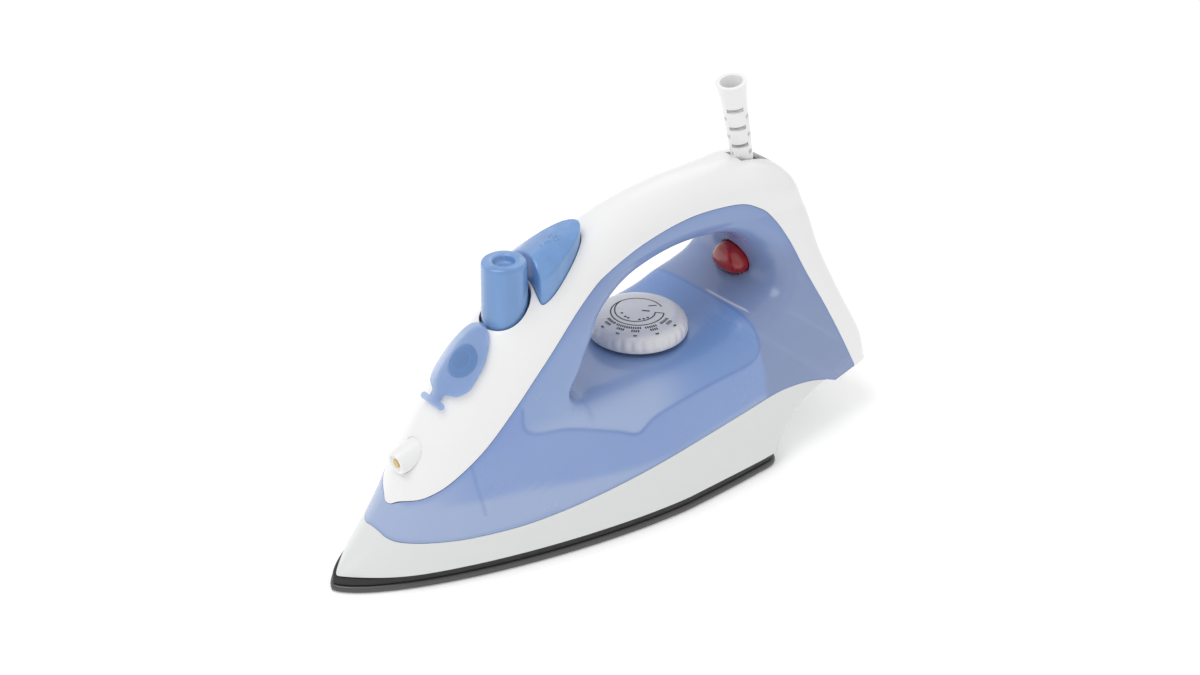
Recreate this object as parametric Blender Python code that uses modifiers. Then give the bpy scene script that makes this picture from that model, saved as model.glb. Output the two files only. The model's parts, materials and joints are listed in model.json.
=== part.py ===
"""Corded steam iron: soleplate, heat shield, skirt, water tank, handle shell and works.

Design positions are in millimetres: x runs from the soleplate's tip to the heel, y across,
z up from the ironing surface. place() turns them into metres about the middle of the length.
"""
import math

import bmesh
import bpy
from mathutils import Matrix, Vector

MM = 0.001
MIDDLE_X = 135.5
GAP = 0.3

SOLE_LENGTH = 208.0
SOLE_HALF_WIDTH = 51.5
SOLE_TOP = 3.0
SHIELD_TOP = 6.3
SHIELD_LEDGE = 4.8
SHIELD_ROOF = 18.4
SKIRT_FOOT_Z = 6.6
WALL = 2.0
TUB_FLOOR = 22.0
TUB_RIM = 47.0
TUB_BACK = 203.0
TUB_INSET = 3.8
TUB_FRONT = 50.0
SHIELD_BACK = 206.0
TANK_COLUMNS = 7
SEAM_GAP = 0.6
ELEMENT_RADIUS = 3.2
ELEMENT_BACK = 184.0
CHAMBER_INSET = 17.6
CHAMBER_BACK = 146.0
HEEL_SCREW = (197.0, 22.0)
KNOB_FOOT = 87.0
BUTTON_FOOT = 95.5
FRONT_ALONG = (0.72, 0.69)
FRONT_NORMAL = (-0.69, 0.72)
COLLAR_AT = (69.0, 82.0)
COLLAR_RADIUS = 7.0
NOZZLE_ROOT = (46.5, 48.6)
NOZZLE_END = (34.0, 47.1)
NOZZLE_RADII = (6.6, 5.0)
LAMP_LEAN = math.radians(4)
COVER_TOP = 92.0
COVER_SCREW_X = 258.0
COVER_SCREW_Z = 52.0
DIAL_X = 162.5
DIAL_BOTTOM = 61.3
DIAL_RADIUS = 22.0
KNOB_X = 91.3
KNOB_TOP = 120.5
KNOB_RADIUS = 9.5
PUMP_X = 106.5
LID_HINGE_X = 55.0
LAMP_AT = (217.5, 77.0)
GUARD_PIVOT = (224.0, 112.3)
GUARD_LEAN = math.radians(-12)
GUARD_SLOT_LOW = 17.0
GUARD_SLOT_STEP = 4.5
GUARD_SLOT_TURN = math.radians(50)

# Side view outlines, nose at the left
OUTLINE = [(2.9, 6.6), (13.2, 13.6), (22.1, 21.3), (29, 30.5), (34.1, 39.8), (40.6, 49.1), (52, 64.2),
           (67.8, 81.5), (86.6, 97.9), (105.5, 109.4), (125.5, 118.5), (149.8, 126.1), (178, 129),
           (204, 127.9), (222.9, 125.5), (237.2, 118.5), (244.5, 102.7), (248.9, 82.7), (258.3, 59.4),
           (267.4, 40.3), (271, 25)]
NOSE_JOINT = 2
TONGUE_JOINT = 3
OPENING = [(106, 64), (112, 71), (121, 80), (131, 89), (142, 95), (155, 98.5), (172, 100.5), (188, 100),
           (204, 96.8), (213.5, 89.5), (218.3, 80), (217, 73), (209.5, 69.3), (199, 66.3), (187, 61.6),
           (165, 59.5), (145, 59.5), (125, 59.5), (112, 60)]
SEAM = [(32, 33.2), (38.5, 36), (48.3, 41.7), (62, 52.4), (77, 66.6), (92, 80.6), (111, 96), (130, 106),
        (152, 113), (178, 116.5), (203, 114.5), (214, 110), (221, 104), (227, 93), (233, 77),
        (241, 59.5), (250, 40), (257.5, 24)]
SKIRT_TOP = [(22.1, 21.3), (22.8, 20), (25.2, 19.1), (31, 18.8), (40, 18.6), (53, 18), (70, 18),
             (87, 19.2), (107, 21.4), (125, 23.8), (145, 26.4), (165, 28.6), (185, 30.6), (206, 32),
             (222, 30.2), (234, 26.8), (244, 22.3)]
SKIRT_HEEL = [(205, 6.6), (210, 12), (219, 17.5), (231, 20.7), (244, 22.3)]

# Where the tank's nose strip ends, and the opening's edge that each station of its border faces
SEAM_CUT = 6
SKIRT_CUT = 7
CUT_COLUMNS = 5
SEAM_MATCH = [(6, 1), (7, 2), (11, 8), (14, 10), (18, 12)]
SKIRT_MATCH = [(7, 18), (9, 17), (13, 13), (16, 12.3)]

# Half widths along the length: low on the flank, half way up, and at the grip
LOW_REAR = [(150, 51), (190, 50.5), (215, 48), (240, 44), (262, 41), (275, 39)]
WAIST = [(0, 0), (30, 15), (60, 23), (100, 30), (140, 34), (190, 36), (230, 36), (275, 37)]
CROWN = [(0, 10), (60, 20), (100, 20), (130, 17), (160, 16), (200, 17), (235, 22), (275, 30)]
EDGE_RADIUS = [(0, 9), (20, 14), (60, 24), (100, 21), (140, 16), (200, 16), (240, 13), (275, 9)]


# ---------------------------------------------------------------- curves and the body's shape

def curve_at(points, u):
    """The smooth curve's point at u, counted in spans from its first point."""
    last = len(points) - 1
    i = min(int(u), last - 1)
    t = u - i
    b, c = points[i], points[i + 1]
    a = points[i - 1] if i > 0 else tuple(2 * p - q for p, q in zip(b, c))
    d = points[i + 2] if i + 2 <= last else tuple(2 * q - p for p, q in zip(b, c))
    return tuple(0.5 * (2 * q + (r - p) * t + (2 * p - 5 * q + 4 * r - s) * t * t
                        + (3 * q - p - 3 * r + s) * t ** 3) for p, q, r, s in zip(a, b, c, d))


def spline(points, steps):
    """A smooth line through the points, with the given steps between neighbours."""
    return [curve_at(points, k / steps) for k in range((len(points) - 1) * steps + 1)]


def ring_spline(points, steps):
    """The same curve closed into a ring, without its first point repeated."""
    wrapped = [points[-1]] + list(points) + [points[0], points[1]]
    return spline(wrapped, steps)[steps:-steps - 1]


def between(x, stations):
    """A smooth value at x from (x, value) stations, without overshoot."""
    if x <= stations[0][0]:
        return stations[0][1]
    if x >= stations[-1][0]:
        return stations[-1][1]
    slopes = [(b[1] - a[1]) / (b[0] - a[0]) for a, b in zip(stations, stations[1:])]

    def tangent(i):
        if i == 0 or i == len(stations) - 1:
            return slopes[min(i, len(slopes) - 1)]
        left, right = slopes[i - 1], slopes[i]
        return 0.0 if left * right <= 0 else 2 * left * right / (left + right)

    i = max(k for k in range(len(slopes)) if x >= stations[k][0])
    (xa, ya), (xb, yb) = stations[i], stations[i + 1]
    span = xb - xa
    t = (x - xa) / span
    return ((1 + 2 * t) * (1 - t) ** 2 * ya + t * (1 - t) ** 2 * span * tangent(i)
            + t * t * (3 - 2 * t) * yb + t * t * (t - 1) * span * tangent(i + 1))


def distance(x, z, line):
    """The distance from a point to a line of points."""
    best = math.inf
    for (ax, az), (bx, bz) in zip(line, line[1:]):
        ux, uz = bx - ax, bz - az
        size = ux * ux + uz * uz
        t = max(0.0, min(1.0, ((x - ax) * ux + (z - az) * uz) / size))
        best = min(best, (x - ax - t * ux) ** 2 + (z - az - t * uz) ** 2)
    return math.sqrt(best)


def edge_round(depth, radius, power):
    """How much of the full width is left at a depth inside an edge."""
    t = max(0.0, 1.0 - max(depth, 0.0) / radius)
    return (1.0 - t ** power) ** (1.0 / power)


OUTLINE_CURVE = spline(OUTLINE, 5)
OPENING_CURVE = ring_spline(OPENING, 4)
OPENING_RING = OPENING_CURVE + OPENING_CURVE[:1]
HEEL_CURVE = spline(SKIRT_HEEL, 4)


def low_half(x):
    """Half width of the lower edge: a pointed nose that widens to parallel flanks."""
    if x < 150:
        return 51 * (1 - (1 - max(x, 0.0) / 150) ** 1.5) ** (2 / 3)
    return between(x, LOW_REAR)


def flank_half(x, z):
    """Half width of the flank before its edges are rounded."""
    t = max(0.0, min(1.0, (z - 8) / 97))
    return (low_half(x) * (1 - t) * (1 - 2 * t) + 4 * between(x, WAIST) * t * (1 - t)
            + between(x, CROWN) * t * (2 * t - 1))


def body_half(x, z):
    """Half width of the whole body at a side view point."""
    power = between(x, [(190, 2.0), (245, 3.0)])
    deck = between(z, [(70, 1.0), (90, 0.0)])
    return (flank_half(x, z)
            * edge_round(distance(x, z, OUTLINE_CURVE), between(x, EDGE_RADIUS), power)
            * edge_round(distance(x, z, OPENING_RING), 13 - 4 * deck, 2.3 + 1.4 * deck))


def skirt_half(x, z):
    """Half width of the skirt, rounded into its concave heel."""
    return body_half(x, z) * edge_round(distance(x, z, HEEL_CURVE), 5.0, 3.0)


def sole_ring():
    """The soleplate's left edge from tip to heel: a pointed nose, straight flanks, round heel corners."""
    ring = []
    for k in range(25):
        a = math.pi / 2 * k / 24
        ring.append((150 * (1 - math.cos(a) ** (4 / 3)), SOLE_HALF_WIDTH * math.sin(a) ** (4 / 3)))
    ring += [(160.0, SOLE_HALF_WIDTH), (178.0, SOLE_HALF_WIDTH - 0.3)]
    heel_radius, heel_power = 14.0, 3.2
    for k in range(9):
        b = math.pi / 2 * (1 - k / 8)
        x = SOLE_LENGTH - heel_radius + heel_radius * math.cos(b) ** (2 / heel_power)
        ring.append((x, (SOLE_HALF_WIDTH - 1) * math.sin(b) ** (2 / heel_power)))
    return ring


def sole_width(x):
    """The soleplate's half width at x, ahead of its heel corners."""
    if x < 150:
        return SOLE_HALF_WIDTH * (1 - (1 - x / 150) ** 1.5) ** (2 / 3)
    return SOLE_HALF_WIDTH


def inset_side(inset, count=26, x_back=None):
    """The left side of the soleplate's edge moved inward, evenly resampled from tip to back."""
    edge = sole_ring()
    moved = []
    for (xa, ya), (xb, yb) in zip(edge, edge[1:]):
        length = math.hypot(xb - xa, yb - ya)
        nx, ny = (yb - ya) / length, -(xb - xa) / length
        moved += [(x + nx * inset, y + ny * inset) for x, y in ((xa, ya), (xb, yb))]
    side = []
    for (xa, ya), (xb, yb) in zip(moved, moved[1:]):
        if ya <= 0 < yb:
            side = [(xa + (xb - xa) * -ya / (yb - ya), 0.0)]
        if side and yb > 0:
            side.append((xb, yb))
    if x_back is not None:
        side = [point for point in side if point[0] < x_back]
        side += [(x_back, side[-1][1]), (x_back, 0.0)]
    else:
        side = side + [(SOLE_LENGTH - inset, 0.0)]
    return resample(side, count)


def resample(line, count):
    """The same line with its points evenly spaced."""
    lengths = [math.dist(a, b) for a, b in zip(line, line[1:])]
    total = sum(lengths)
    result = []
    for k in range(count):
        goal = total * k / (count - 1)
        i = 0
        while i < len(lengths) - 1 and goal > lengths[i]:
            goal -= lengths[i]
            i += 1
        t = min(1.0, goal / lengths[i]) if lengths[i] else 0.0
        result.append(tuple(p + (q - p) * t for p, q in zip(line[i], line[i + 1])))
    return result


def ridge_height(x):
    """The height of the front ridge at x."""
    for (xa, za), (xb, zb) in zip(OUTLINE_CURVE, OUTLINE_CURVE[1:]):
        if xa <= x <= xb:
            return za + (zb - za) * (x - xa) / (xb - xa)
    return 0.0


def inside_side(half, z, inset, front, back, count=26):
    """The left side of the space inside a shell at one height, with a blunt front and a flat back."""
    tip = front
    while half(tip, z) < inset + 0.5 or ridge_height(tip) < z + inset:
        tip += 0.5
    side = []
    for k in range(41):
        x = tip + (back - tip) * (k / 40) ** 1.8
        side.append((x, (half(x, z) - inset) * edge_round(x - tip, 10.0, 2.2)))
    return resample(side + [(back, 0.0)], count)


def both_sides(side):
    """A closed loop from a left side whose first and last points are on the middle plane."""
    return side + [(x, -y) for x, y in reversed(side[1:-1])]


def place(x, y, z):
    return Vector(((x - MIDDLE_X) * MM, y * MM, z * MM))


def clear_scene():
    for item in list(bpy.data.objects):
        bpy.data.objects.remove(item, do_unlink=True)


clear_scene()
PARTS = bpy.data.collections.new("steam_iron")
CUTTERS = bpy.data.collections.new("cutters")
bpy.context.scene.collection.children.link(PARTS)
bpy.context.scene.collection.children.link(CUTTERS)


def make_material(name, color, roughness, metallic=0.0, alpha=1.0):
    material = bpy.data.materials.new(name)
    material.use_nodes = True
    shader = material.node_tree.nodes["Principled BSDF"]
    shader.inputs["Base Color"].default_value = (*color, 1.0)
    shader.inputs["Roughness"].default_value = roughness
    shader.inputs["Metallic"].default_value = metallic
    shader.inputs["Alpha"].default_value = alpha
    return material


WHITE = make_material("white_plastic", (0.86, 0.86, 0.86), 0.25)
BLUE = make_material("tank_blue", (0.24, 0.38, 0.72), 0.22)
DEEP_BLUE = make_material("button_blue", (0.12, 0.32, 0.72), 0.25)
CLEAR_BLUE = make_material("lid_blue", (0.42, 0.58, 0.88), 0.12, alpha=0.6)
COATING = make_material("sole_coating", (0.07, 0.07, 0.07), 0.35, 0.5)
BLACK = make_material("shield_black", (0.02, 0.02, 0.02), 0.5)
GREY = make_material("dial_grey", (0.62, 0.63, 0.66), 0.35)
RED = make_material("lamp_red", (0.25, 0.01, 0.01), 0.15)
STEEL = make_material("bright_steel", (0.6, 0.6, 0.62), 0.3, 1.0)
ALUMINIUM = make_material("aluminium", (0.7, 0.7, 0.71), 0.4, 1.0)
BRASS = make_material("brass", (0.62, 0.46, 0.18), 0.35, 1.0)
CERAMIC = make_material("ceramic", (0.78, 0.76, 0.7), 0.6)
SILICONE = make_material("silicone", (0.55, 0.16, 0.1), 0.6)
INNER = make_material("inner_plastic", (0.5, 0.52, 0.55), 0.5)
GLASS = make_material("lamp_glass", (0.9, 0.75, 0.6), 0.1, alpha=0.5)
WIRE = make_material("wire_cover", (0.75, 0.7, 0.62), 0.55)


# ---------------------------------------------------------------- building helpers

def add_node(name, mesh, material):
    """A smooth-shaded node from a finished bmesh."""
    data = bpy.data.meshes.new(name)
    mesh.to_mesh(data)
    mesh.free()
    data.materials.append(material)
    for polygon in data.polygons:
        polygon.use_smooth = True
    obj = bpy.data.objects.new(name, data)
    PARTS.objects.link(obj)
    return obj


def own_origin(obj, x, y, z):
    """Moves the object's origin onto its joint and leaves its shape where it is."""
    point = place(x, y, z)
    obj.data.transform(Matrix.Translation(obj.location - point))
    obj.location = point
    return obj


def sheet(name, rows, material, ring_rows=()):
    """An open surface through rows of design points, facing the left side; ring_rows close on themselves."""
    mesh = bmesh.new()
    for grid, closed in ((rows, False), (list(ring_rows), True)):
        verts = [[mesh.verts.new(place(*point)) for point in row] for row in grid]
        for near, far in zip(verts, verts[1:] + verts[:1] if closed else verts[1:]):
            for i in range(len(near) - 1):
                mesh.faces.new((near[i], near[i + 1], far[i + 1], far[i]))
    bmesh.ops.remove_doubles(mesh, verts=mesh.verts, dist=0.02 * MM)
    bmesh.ops.recalc_face_normals(mesh, faces=mesh.faces)
    mesh.normal_update()
    if sum(face.normal.y * face.calc_area() for face in mesh.faces) > 0:
        bmesh.ops.reverse_faces(mesh, faces=mesh.faces)
    return add_node(name, mesh, material)


def thicken(obj, wall, offset=-1.0):
    solid = obj.modifiers.new("wall", "SOLIDIFY")
    solid.thickness = wall * MM
    solid.offset = offset
    return obj


def body_shell(name, rows, half, material, ring_rows=()):
    """A mirrored shell: rows of (x, z, on_middle) side view points pushed out to a half width."""
    def pushed(grid):
        return [[(x, 0.0 if middle else -half(x, z), z) for x, z, middle in row] for row in grid]

    obj = sheet(name, pushed(rows), material, pushed(ring_rows))
    mirror = obj.modifiers.new("both_sides", "MIRROR")
    mirror.use_axis = (False, True, False)
    mirror.merge_threshold = 0.0001
    return thicken(obj, WALL)


def cutter(obj):
    """Moves a helper to the cutters and hides it."""
    for collection in list(obj.users_collection):
        collection.objects.unlink(obj)
    CUTTERS.objects.link(obj)
    obj.hide_render = True
    obj.display_type = "WIRE"
    return obj


def cut(obj, tool, operation="DIFFERENCE"):
    boolean = obj.modifiers.new(tool.name, "BOOLEAN")
    boolean.operation = operation
    boolean.solver = "EXACT"
    boolean.object = tool
    return obj


def cone(name, start, end, radius_start, radius_end, material, sides=24):
    """A straight round piece between two design points."""
    a, b = place(*start), place(*end)
    mesh = bmesh.new()
    bmesh.ops.create_cone(mesh, cap_ends=True, cap_tris=False, segments=sides,
                          radius1=radius_start * MM, radius2=radius_end * MM, depth=(b - a).length)
    turn = Vector((0, 0, 1)).rotation_difference(b - a).to_matrix().to_4x4()
    bmesh.ops.transform(mesh, matrix=Matrix.Translation((a + b) / 2) @ turn, verts=mesh.verts)
    return add_node(name, mesh, material)


def rod(name, start, end, radius, material, sides=16):
    return cone(name, start, end, radius, radius, material, sides)


def box(name, low, high, material, bevel=0.0):
    mesh = bmesh.new()
    bmesh.ops.create_cube(mesh, size=1.0)
    a, b = place(*low), place(*high)
    shape = Matrix.Translation((a + b) / 2) @ Matrix.Diagonal((*(b - a), 1.0))
    bmesh.ops.transform(mesh, matrix=shape, verts=mesh.verts)
    obj = add_node(name, mesh, material)
    if bevel:
        edge = obj.modifiers.new("edges", "BEVEL")
        edge.width = bevel * MM
        edge.segments = 2
    return obj


def turned(name, profile, foot, material, sides=32, lean=0.0):
    """A turned piece: (radius, height) points down its outer side, spun about its own axis."""
    mesh = bmesh.new()
    verts = [mesh.verts.new((radius * MM, 0, height * MM)) for radius, height in profile]
    for a, b in zip(verts, verts[1:]):
        mesh.edges.new((a, b))
    if profile[0][0] > 0:
        mesh.edges.new((verts[-1], verts[0]))
    obj = add_node(name, mesh, material)
    screw = obj.modifiers.new("turn", "SCREW")
    screw.axis = "Z"
    screw.steps = sides
    screw.render_steps = sides
    screw.use_merge_vertices = True
    screw.merge_threshold = 0.00001
    obj.location = place(*foot)
    obj.rotation_euler = (0, lean, 0)
    return obj


def stack(name, rings, material):
    """A closed solid through rings of (x, y, z) design points with a cap at each end."""
    mesh = bmesh.new()
    verts = [[mesh.verts.new(place(*point)) for point in ring] for ring in rings]
    mesh.faces.new(verts[0][::-1])
    mesh.faces.new(verts[-1])
    count = len(verts[0])
    for low, high in zip(verts, verts[1:]):
        for i in range(count):
            j = (i + 1) % count
            mesh.faces.new((low[i], low[j], high[j], high[i]))
    bmesh.ops.recalc_face_normals(mesh, faces=mesh.faces)
    return add_node(name, mesh, material)


def at_height(loop, z):
    """A plan loop of (x, y) points lifted to a height, or to a height that follows x."""
    return [(x, y, z(x) if callable(z) else z) for x, y in loop]


def plate(name, loop, low, high, material):
    return stack(name, [at_height(loop, low), at_height(loop, high)], material)


def tube(name, points, radius, material, steps=4, sides=2):
    """A bent rod, wire or hose along a smooth route, with filled ends."""
    data = bpy.data.curves.new(name, "CURVE")
    data.dimensions = "3D"
    data.bevel_depth = radius * MM
    data.bevel_resolution = sides
    data.use_fill_caps = True
    route = spline(points, steps) if steps > 1 else points
    line = data.splines.new("POLY")
    line.points.add(len(route) - 1)
    for point, where in zip(line.points, route):
        point.co = (*place(*where), 1.0)
    data.materials.append(material)
    obj = bpy.data.objects.new(name, data)
    PARTS.objects.link(obj)
    return obj


def coil(name, x, low, high, radius, wire, turns, material):
    """A compression spring on a vertical axis."""
    per_turn = 8
    rise = high - low - 2 * wire
    points = []
    for k in range(turns * per_turn + 1):
        a = 2 * math.pi * k / per_turn
        points.append((x + radius * math.cos(a), radius * math.sin(a),
                       low + wire + rise * k / (turns * per_turn)))
    return tube(name, points, wire, material, steps=1, sides=1)


# ---------------------------------------------------------------- soleplate group

def build_soleplate():
    """The coated plate with its rounded lip, steam chamber and cover."""
    rims = [(1.2, 0.0), (0.2, 0.5), (0.0, 1.2), (0.0, 2.2), (0.8, SOLE_TOP)]
    sole = stack("soleplate", [at_height(both_sides(inset_side(inset, 40)), z) for inset, z in rims], COATING)
    mesh = bmesh.new()
    spots = [(46.0, 0.0)]
    for x in (62.0, 80.0, 98.0, 116.0, 134.0):
        y = sole_width(x) - 24.0
        spots += [(x, y), (x, -y)]
    for x, y in spots:
        bmesh.ops.create_cone(mesh, cap_ends=True, segments=8, radius1=1.7 * MM, radius2=1.7 * MM,
                              depth=3 * SOLE_TOP * MM, matrix=Matrix.Translation(place(x, y, SOLE_TOP / 2)))
    cut(sole, cutter(add_node("steam_holes", mesh, COATING)))

    chamber = both_sides(inset_side(CHAMBER_INSET, 22, CHAMBER_BACK))
    space = both_sides(inset_side(CHAMBER_INSET + 2.5, 22, CHAMBER_BACK - 2.5))
    wall = plate("steam_chamber_wall", chamber, SOLE_TOP + GAP, 12.0, ALUMINIUM)
    cut(wall, cutter(plate("chamber_space", space, 0.0, 20.0, ALUMINIUM)))
    cover = plate("steam_chamber_cover", chamber, 12.0 + GAP, 13.6, ALUMINIUM)
    cut(cover, cutter(rod("cover_port", (KNOB_X, 0, 5), (KNOB_X, 0, 20), 2.5, ALUMINIUM)))


def build_element():
    """The tubular heater: a U on the soleplate that turns up at its two ends."""
    z = SOLE_TOP + GAP + ELEMENT_RADIUS
    side = inset_side(13.4, 14, ELEMENT_BACK)[:-1]
    side = [point for point in side if point[0] < ELEMENT_BACK - 0.1 or point[1] > 20]
    y_end = side[-1][1]
    rise = [(ELEMENT_BACK + 3.5, 1.5), (ELEMENT_BACK + 5.0, 5.0), (ELEMENT_BACK + 5.0, 7.0)]
    left = [(x, -y, z) for x, y in side] + [(x, -y_end, z + up) for x, up in rise]
    right = [(x, -y, height) for x, y, height in left[1:]]
    tube("heating_element", left[::-1] + right, ELEMENT_RADIUS, STEEL, steps=1)
    for name, y in (("element_terminal_left", -y_end), ("element_terminal_right", y_end)):
        x = ELEMENT_BACK + 5.0
        rod(name, (x, y, z + 7.0 + GAP), (x, y, 20.6), 1.3, BRASS, 12)
    return y_end


def build_heat_shield(y_end):
    """The black band round the soleplate and the tray that covers the hot parts."""
    count = 28

    def band(inset, z):
        return at_height(both_sides(inset_side(inset, count)), z)

    def tray(inset, z):
        return at_height(both_sides(inside_side(skirt_half, z, inset, 4.0, SHIELD_BACK - inset, count)), z)

    low = SOLE_TOP + GAP
    rings = [tray(6.0, SHIELD_ROOF - 1.8), tray(6.2, 10.5), band(6.8, SHIELD_LEDGE), band(3.0, SHIELD_LEDGE),
             band(3.0, low), band(1.1, low), band(1.1, SHIELD_TOP), band(6.2, SHIELD_TOP), tray(4.4, 10.5),
             tray(4.2, SHIELD_ROOF - 1.4), tray(5.8, SHIELD_ROOF)]
    shield = stack("heat_shield", rings, BLACK)
    x = ELEMENT_BACK + 5.0
    ports = [(KNOB_X, 0, 4.95), (DIAL_X, 0, 3.4), (x, -y_end, 3.0), (x, y_end, 3.0),
             (HEEL_SCREW[0], HEEL_SCREW[1], 2.0), (HEEL_SCREW[0], -HEEL_SCREW[1], 2.0)]
    mesh = bmesh.new()
    for px, py, radius in ports:
        bmesh.ops.create_cone(mesh, cap_ends=True, segments=12, radius1=radius * MM, radius2=radius * MM,
                              depth=6 * MM, matrix=Matrix.Translation(place(px, py, 17.5)))
    cut(shield, cutter(add_node("shield_ports", mesh, BLACK)))


def screw_node(name, x, y, head_low, shank_low, material=STEEL, head=3.2, shank=1.6):
    """A vertical screw with a domed, slotted-size head."""
    profile = [(0, head_low + 2.4), (head * 0.7, head_low + 2.2), (head, head_low + 1.2), (head, head_low),
               (shank, head_low), (shank, shank_low), (0, shank_low)]
    return turned(name, profile, (x, y, 0), material, sides=16)


def build_controls_below():
    """Thermostat, fuse and screws on the hot side."""
    box("thermostat_body", (DIAL_X - 11, -9, SOLE_TOP + GAP), (DIAL_X + 11, 9, 14.4), CERAMIC, 1.0)
    rod("thermal_fuse", (183, -8, 8.0), (183, 8, 8.0), 2.2, STEEL)
    screw_node("heel_screw_left", HEEL_SCREW[0], -HEEL_SCREW[1], SHIELD_ROOF + GAP, SOLE_TOP + GAP)
    screw_node("heel_screw_right", HEEL_SCREW[0], HEEL_SCREW[1], SHIELD_ROOF + GAP, SOLE_TOP + GAP)


# ---------------------------------------------------------------- outer shells

def seam_line(shift):
    """The seam between handle shell and tank, from the nose ridge over the handle to the tail."""
    return moved_line([OUTLINE[TONGUE_JOINT]] + SEAM, shift)


def skirt_line(shift):
    return moved_line(SKIRT_TOP, shift)


def moved_line(points, shift):
    """A line of side view points moved to its left by shift."""
    moved = []
    for i, (x, z) in enumerate(points):
        (xa, za), (xb, zb) = points[max(i - 1, 0)], points[min(i + 1, len(points) - 1)]
        length = math.hypot(xb - xa, zb - za)
        moved.append((x - (zb - za) / length * shift, z + (xb - xa) / length * shift))
    return moved


def build_skirt():
    top = skirt_line(-SEAM_GAP / 2)
    foot = [(3 + (x - top[0][0]) * 202 / (top[-1][0] - top[0][0]), SKIRT_FOOT_Z) for x, z in top]
    last = len(top) - 1
    stations = [0, 0.12, 0.35, 0.7] + [k * 0.5 for k in range(2, 2 * last - 1)]
    stations += [last - 0.5, last - 0.27, last - 0.1, last - 0.02, last]
    rows = []
    for s in stations:
        high, low = curve_at(top, s), curve_at(foot, s)
        row = []
        for k in range(5):
            t = k / 4
            heel = curve_at(SKIRT_HEEL, t * (len(SKIRT_HEEL) - 1))
            straight = (foot[-1][0] + (top[-1][0] - foot[-1][0]) * t, foot[-1][1] + (top[-1][1] - foot[-1][1]) * t)
            nose = curve_at(OUTLINE, 2 * t)
            ahead = (foot[0][0] + (top[0][0] - foot[0][0]) * t, foot[0][1] + (top[0][1] - foot[0][1]) * t)
            back_share, nose_share = (s / last) ** 6, (1 - s / last) ** 6
            x = low[0] + (high[0] - low[0]) * t + (heel[0] - straight[0]) * back_share + (nose[0] - ahead[0]) * nose_share
            z = low[1] + (high[1] - low[1]) * t + (heel[1] - straight[1]) * back_share + (nose[1] - ahead[1]) * nose_share
            row.append((x, z, s in (0, last)))
        rows.append(row)
    skirt = body_shell("skirt", rows, skirt_half, WHITE)
    cut(skirt, cutter(box("skirt_foot_cut", (-5, -60, -5), (215, 60, SKIRT_FOOT_Z), WHITE)))
    edge = [curve_at(top, k / 2) for k in range(2 * last - 8, 2 * last + 1)]
    above = [(x, z + 0.02) for x, z in edge] + [(262, 23), (262, 60), (edge[0][0], 60)]
    rings = [[(x, y, z) for x, z in above] for y in (-60, 60)]
    cut(skirt, cutter(stack("skirt_seam_cut", rings, WHITE)))


def build_tank_shell():
    """The blue shell: a strip from the nose to the cut, then rays round the finger opening."""
    seam = seam_line(-SEAM_GAP / 2)
    under = skirt_line(SEAM_GAP / 2)
    rows = []
    for t in [0.0, 0.02, 0.06, 0.11] + [k / 12 for k in range(2, 13)]:
        high, low = curve_at(seam, t * SEAM_CUT), curve_at(under, t * SKIRT_CUT)
        rows.append([(low[0] + (high[0] - low[0]) * k / CUT_COLUMNS, low[1] + (high[1] - low[1]) * k / CUT_COLUMNS,
                      t == 0.0) for k in range(CUT_COLUMNS + 1)])
    cut_row = rows[-1]

    ring = [(x, z, 18 + 2 * k / CUT_COLUMNS) for k, (x, z, middle) in enumerate(cut_row)]
    for k in range(2 * SEAM_CUT + 1, 2 * len(seam) - 1):
        ring.append((*curve_at(seam, k / 2), 19 + between(k / 2, SEAM_MATCH)))
    for k in range(2 * len(under) - 2, 2 * SKIRT_CUT, -1):
        ring.append((*curve_at(under, k / 2), between(k / 2, SKIRT_MATCH)))
    wrapped = [OPENING[-1]] + OPENING + OPENING[:2]
    rays = []
    for x, z, station in ring:
        ix, iz = curve_at(wrapped, 1 + station % 19)
        ray = []
        for k in range(TANK_COLUMNS + 1):
            f = 0.5 - 0.5 * math.cos(math.pi * k / TANK_COLUMNS)
            ray.append((ix + (x - ix) * f, iz + (z - iz) * f, k == 0))
        rays.append(ray)
    shell = body_shell("tank_shell", rows, body_half, BLUE, rays)
    cut(shell, cutter(rod("spindle_hole", (DIAL_X, 0, 50), (DIAL_X, 0, 64), 3.6, BLUE)))


def handle_rows():
    """The handle shell's surface, from the ridge on top down to the seam."""
    inner = seam_line(SEAM_GAP / 2)
    outer = [inner[0]] + OUTLINE[TONGUE_JOINT + 1:]
    inner = inner[1:]
    rows = []
    for k in range(2 * len(outer) - 1):
        (ox, oz), (ix, iz) = curve_at(outer, k / 2), curve_at(inner, k / 2)
        row = []
        for j in range(7):
            f = 1 - math.cos(math.pi / 2 * j / 6)
            row.append((ox + (ix - ox) * f, oz + (iz - oz) * f, j == 0))
        rows.append(row)
    return rows


def cover_outline(grow):
    """The rear cover's edge in the heel, seen from behind: (y, z) points of a tall rounded shape."""
    half = [(0, COVER_TOP + grow), (9 + grow, COVER_TOP + grow), (14 + grow, COVER_TOP - 5),
            (18 + grow, 64), (22 + grow, 38), (24.5 + grow, 20)]
    return half + [(-y, z) for y, z in reversed(half[1:])]


def cover_tool(name, grow):
    """A block along the length with the cover's outline."""
    edge = cover_outline(grow)
    rings = [[(x, y, z) for y, z in edge] for x in (236.0, 290.0)]
    return cutter(stack(name, rings, WHITE))


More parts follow.
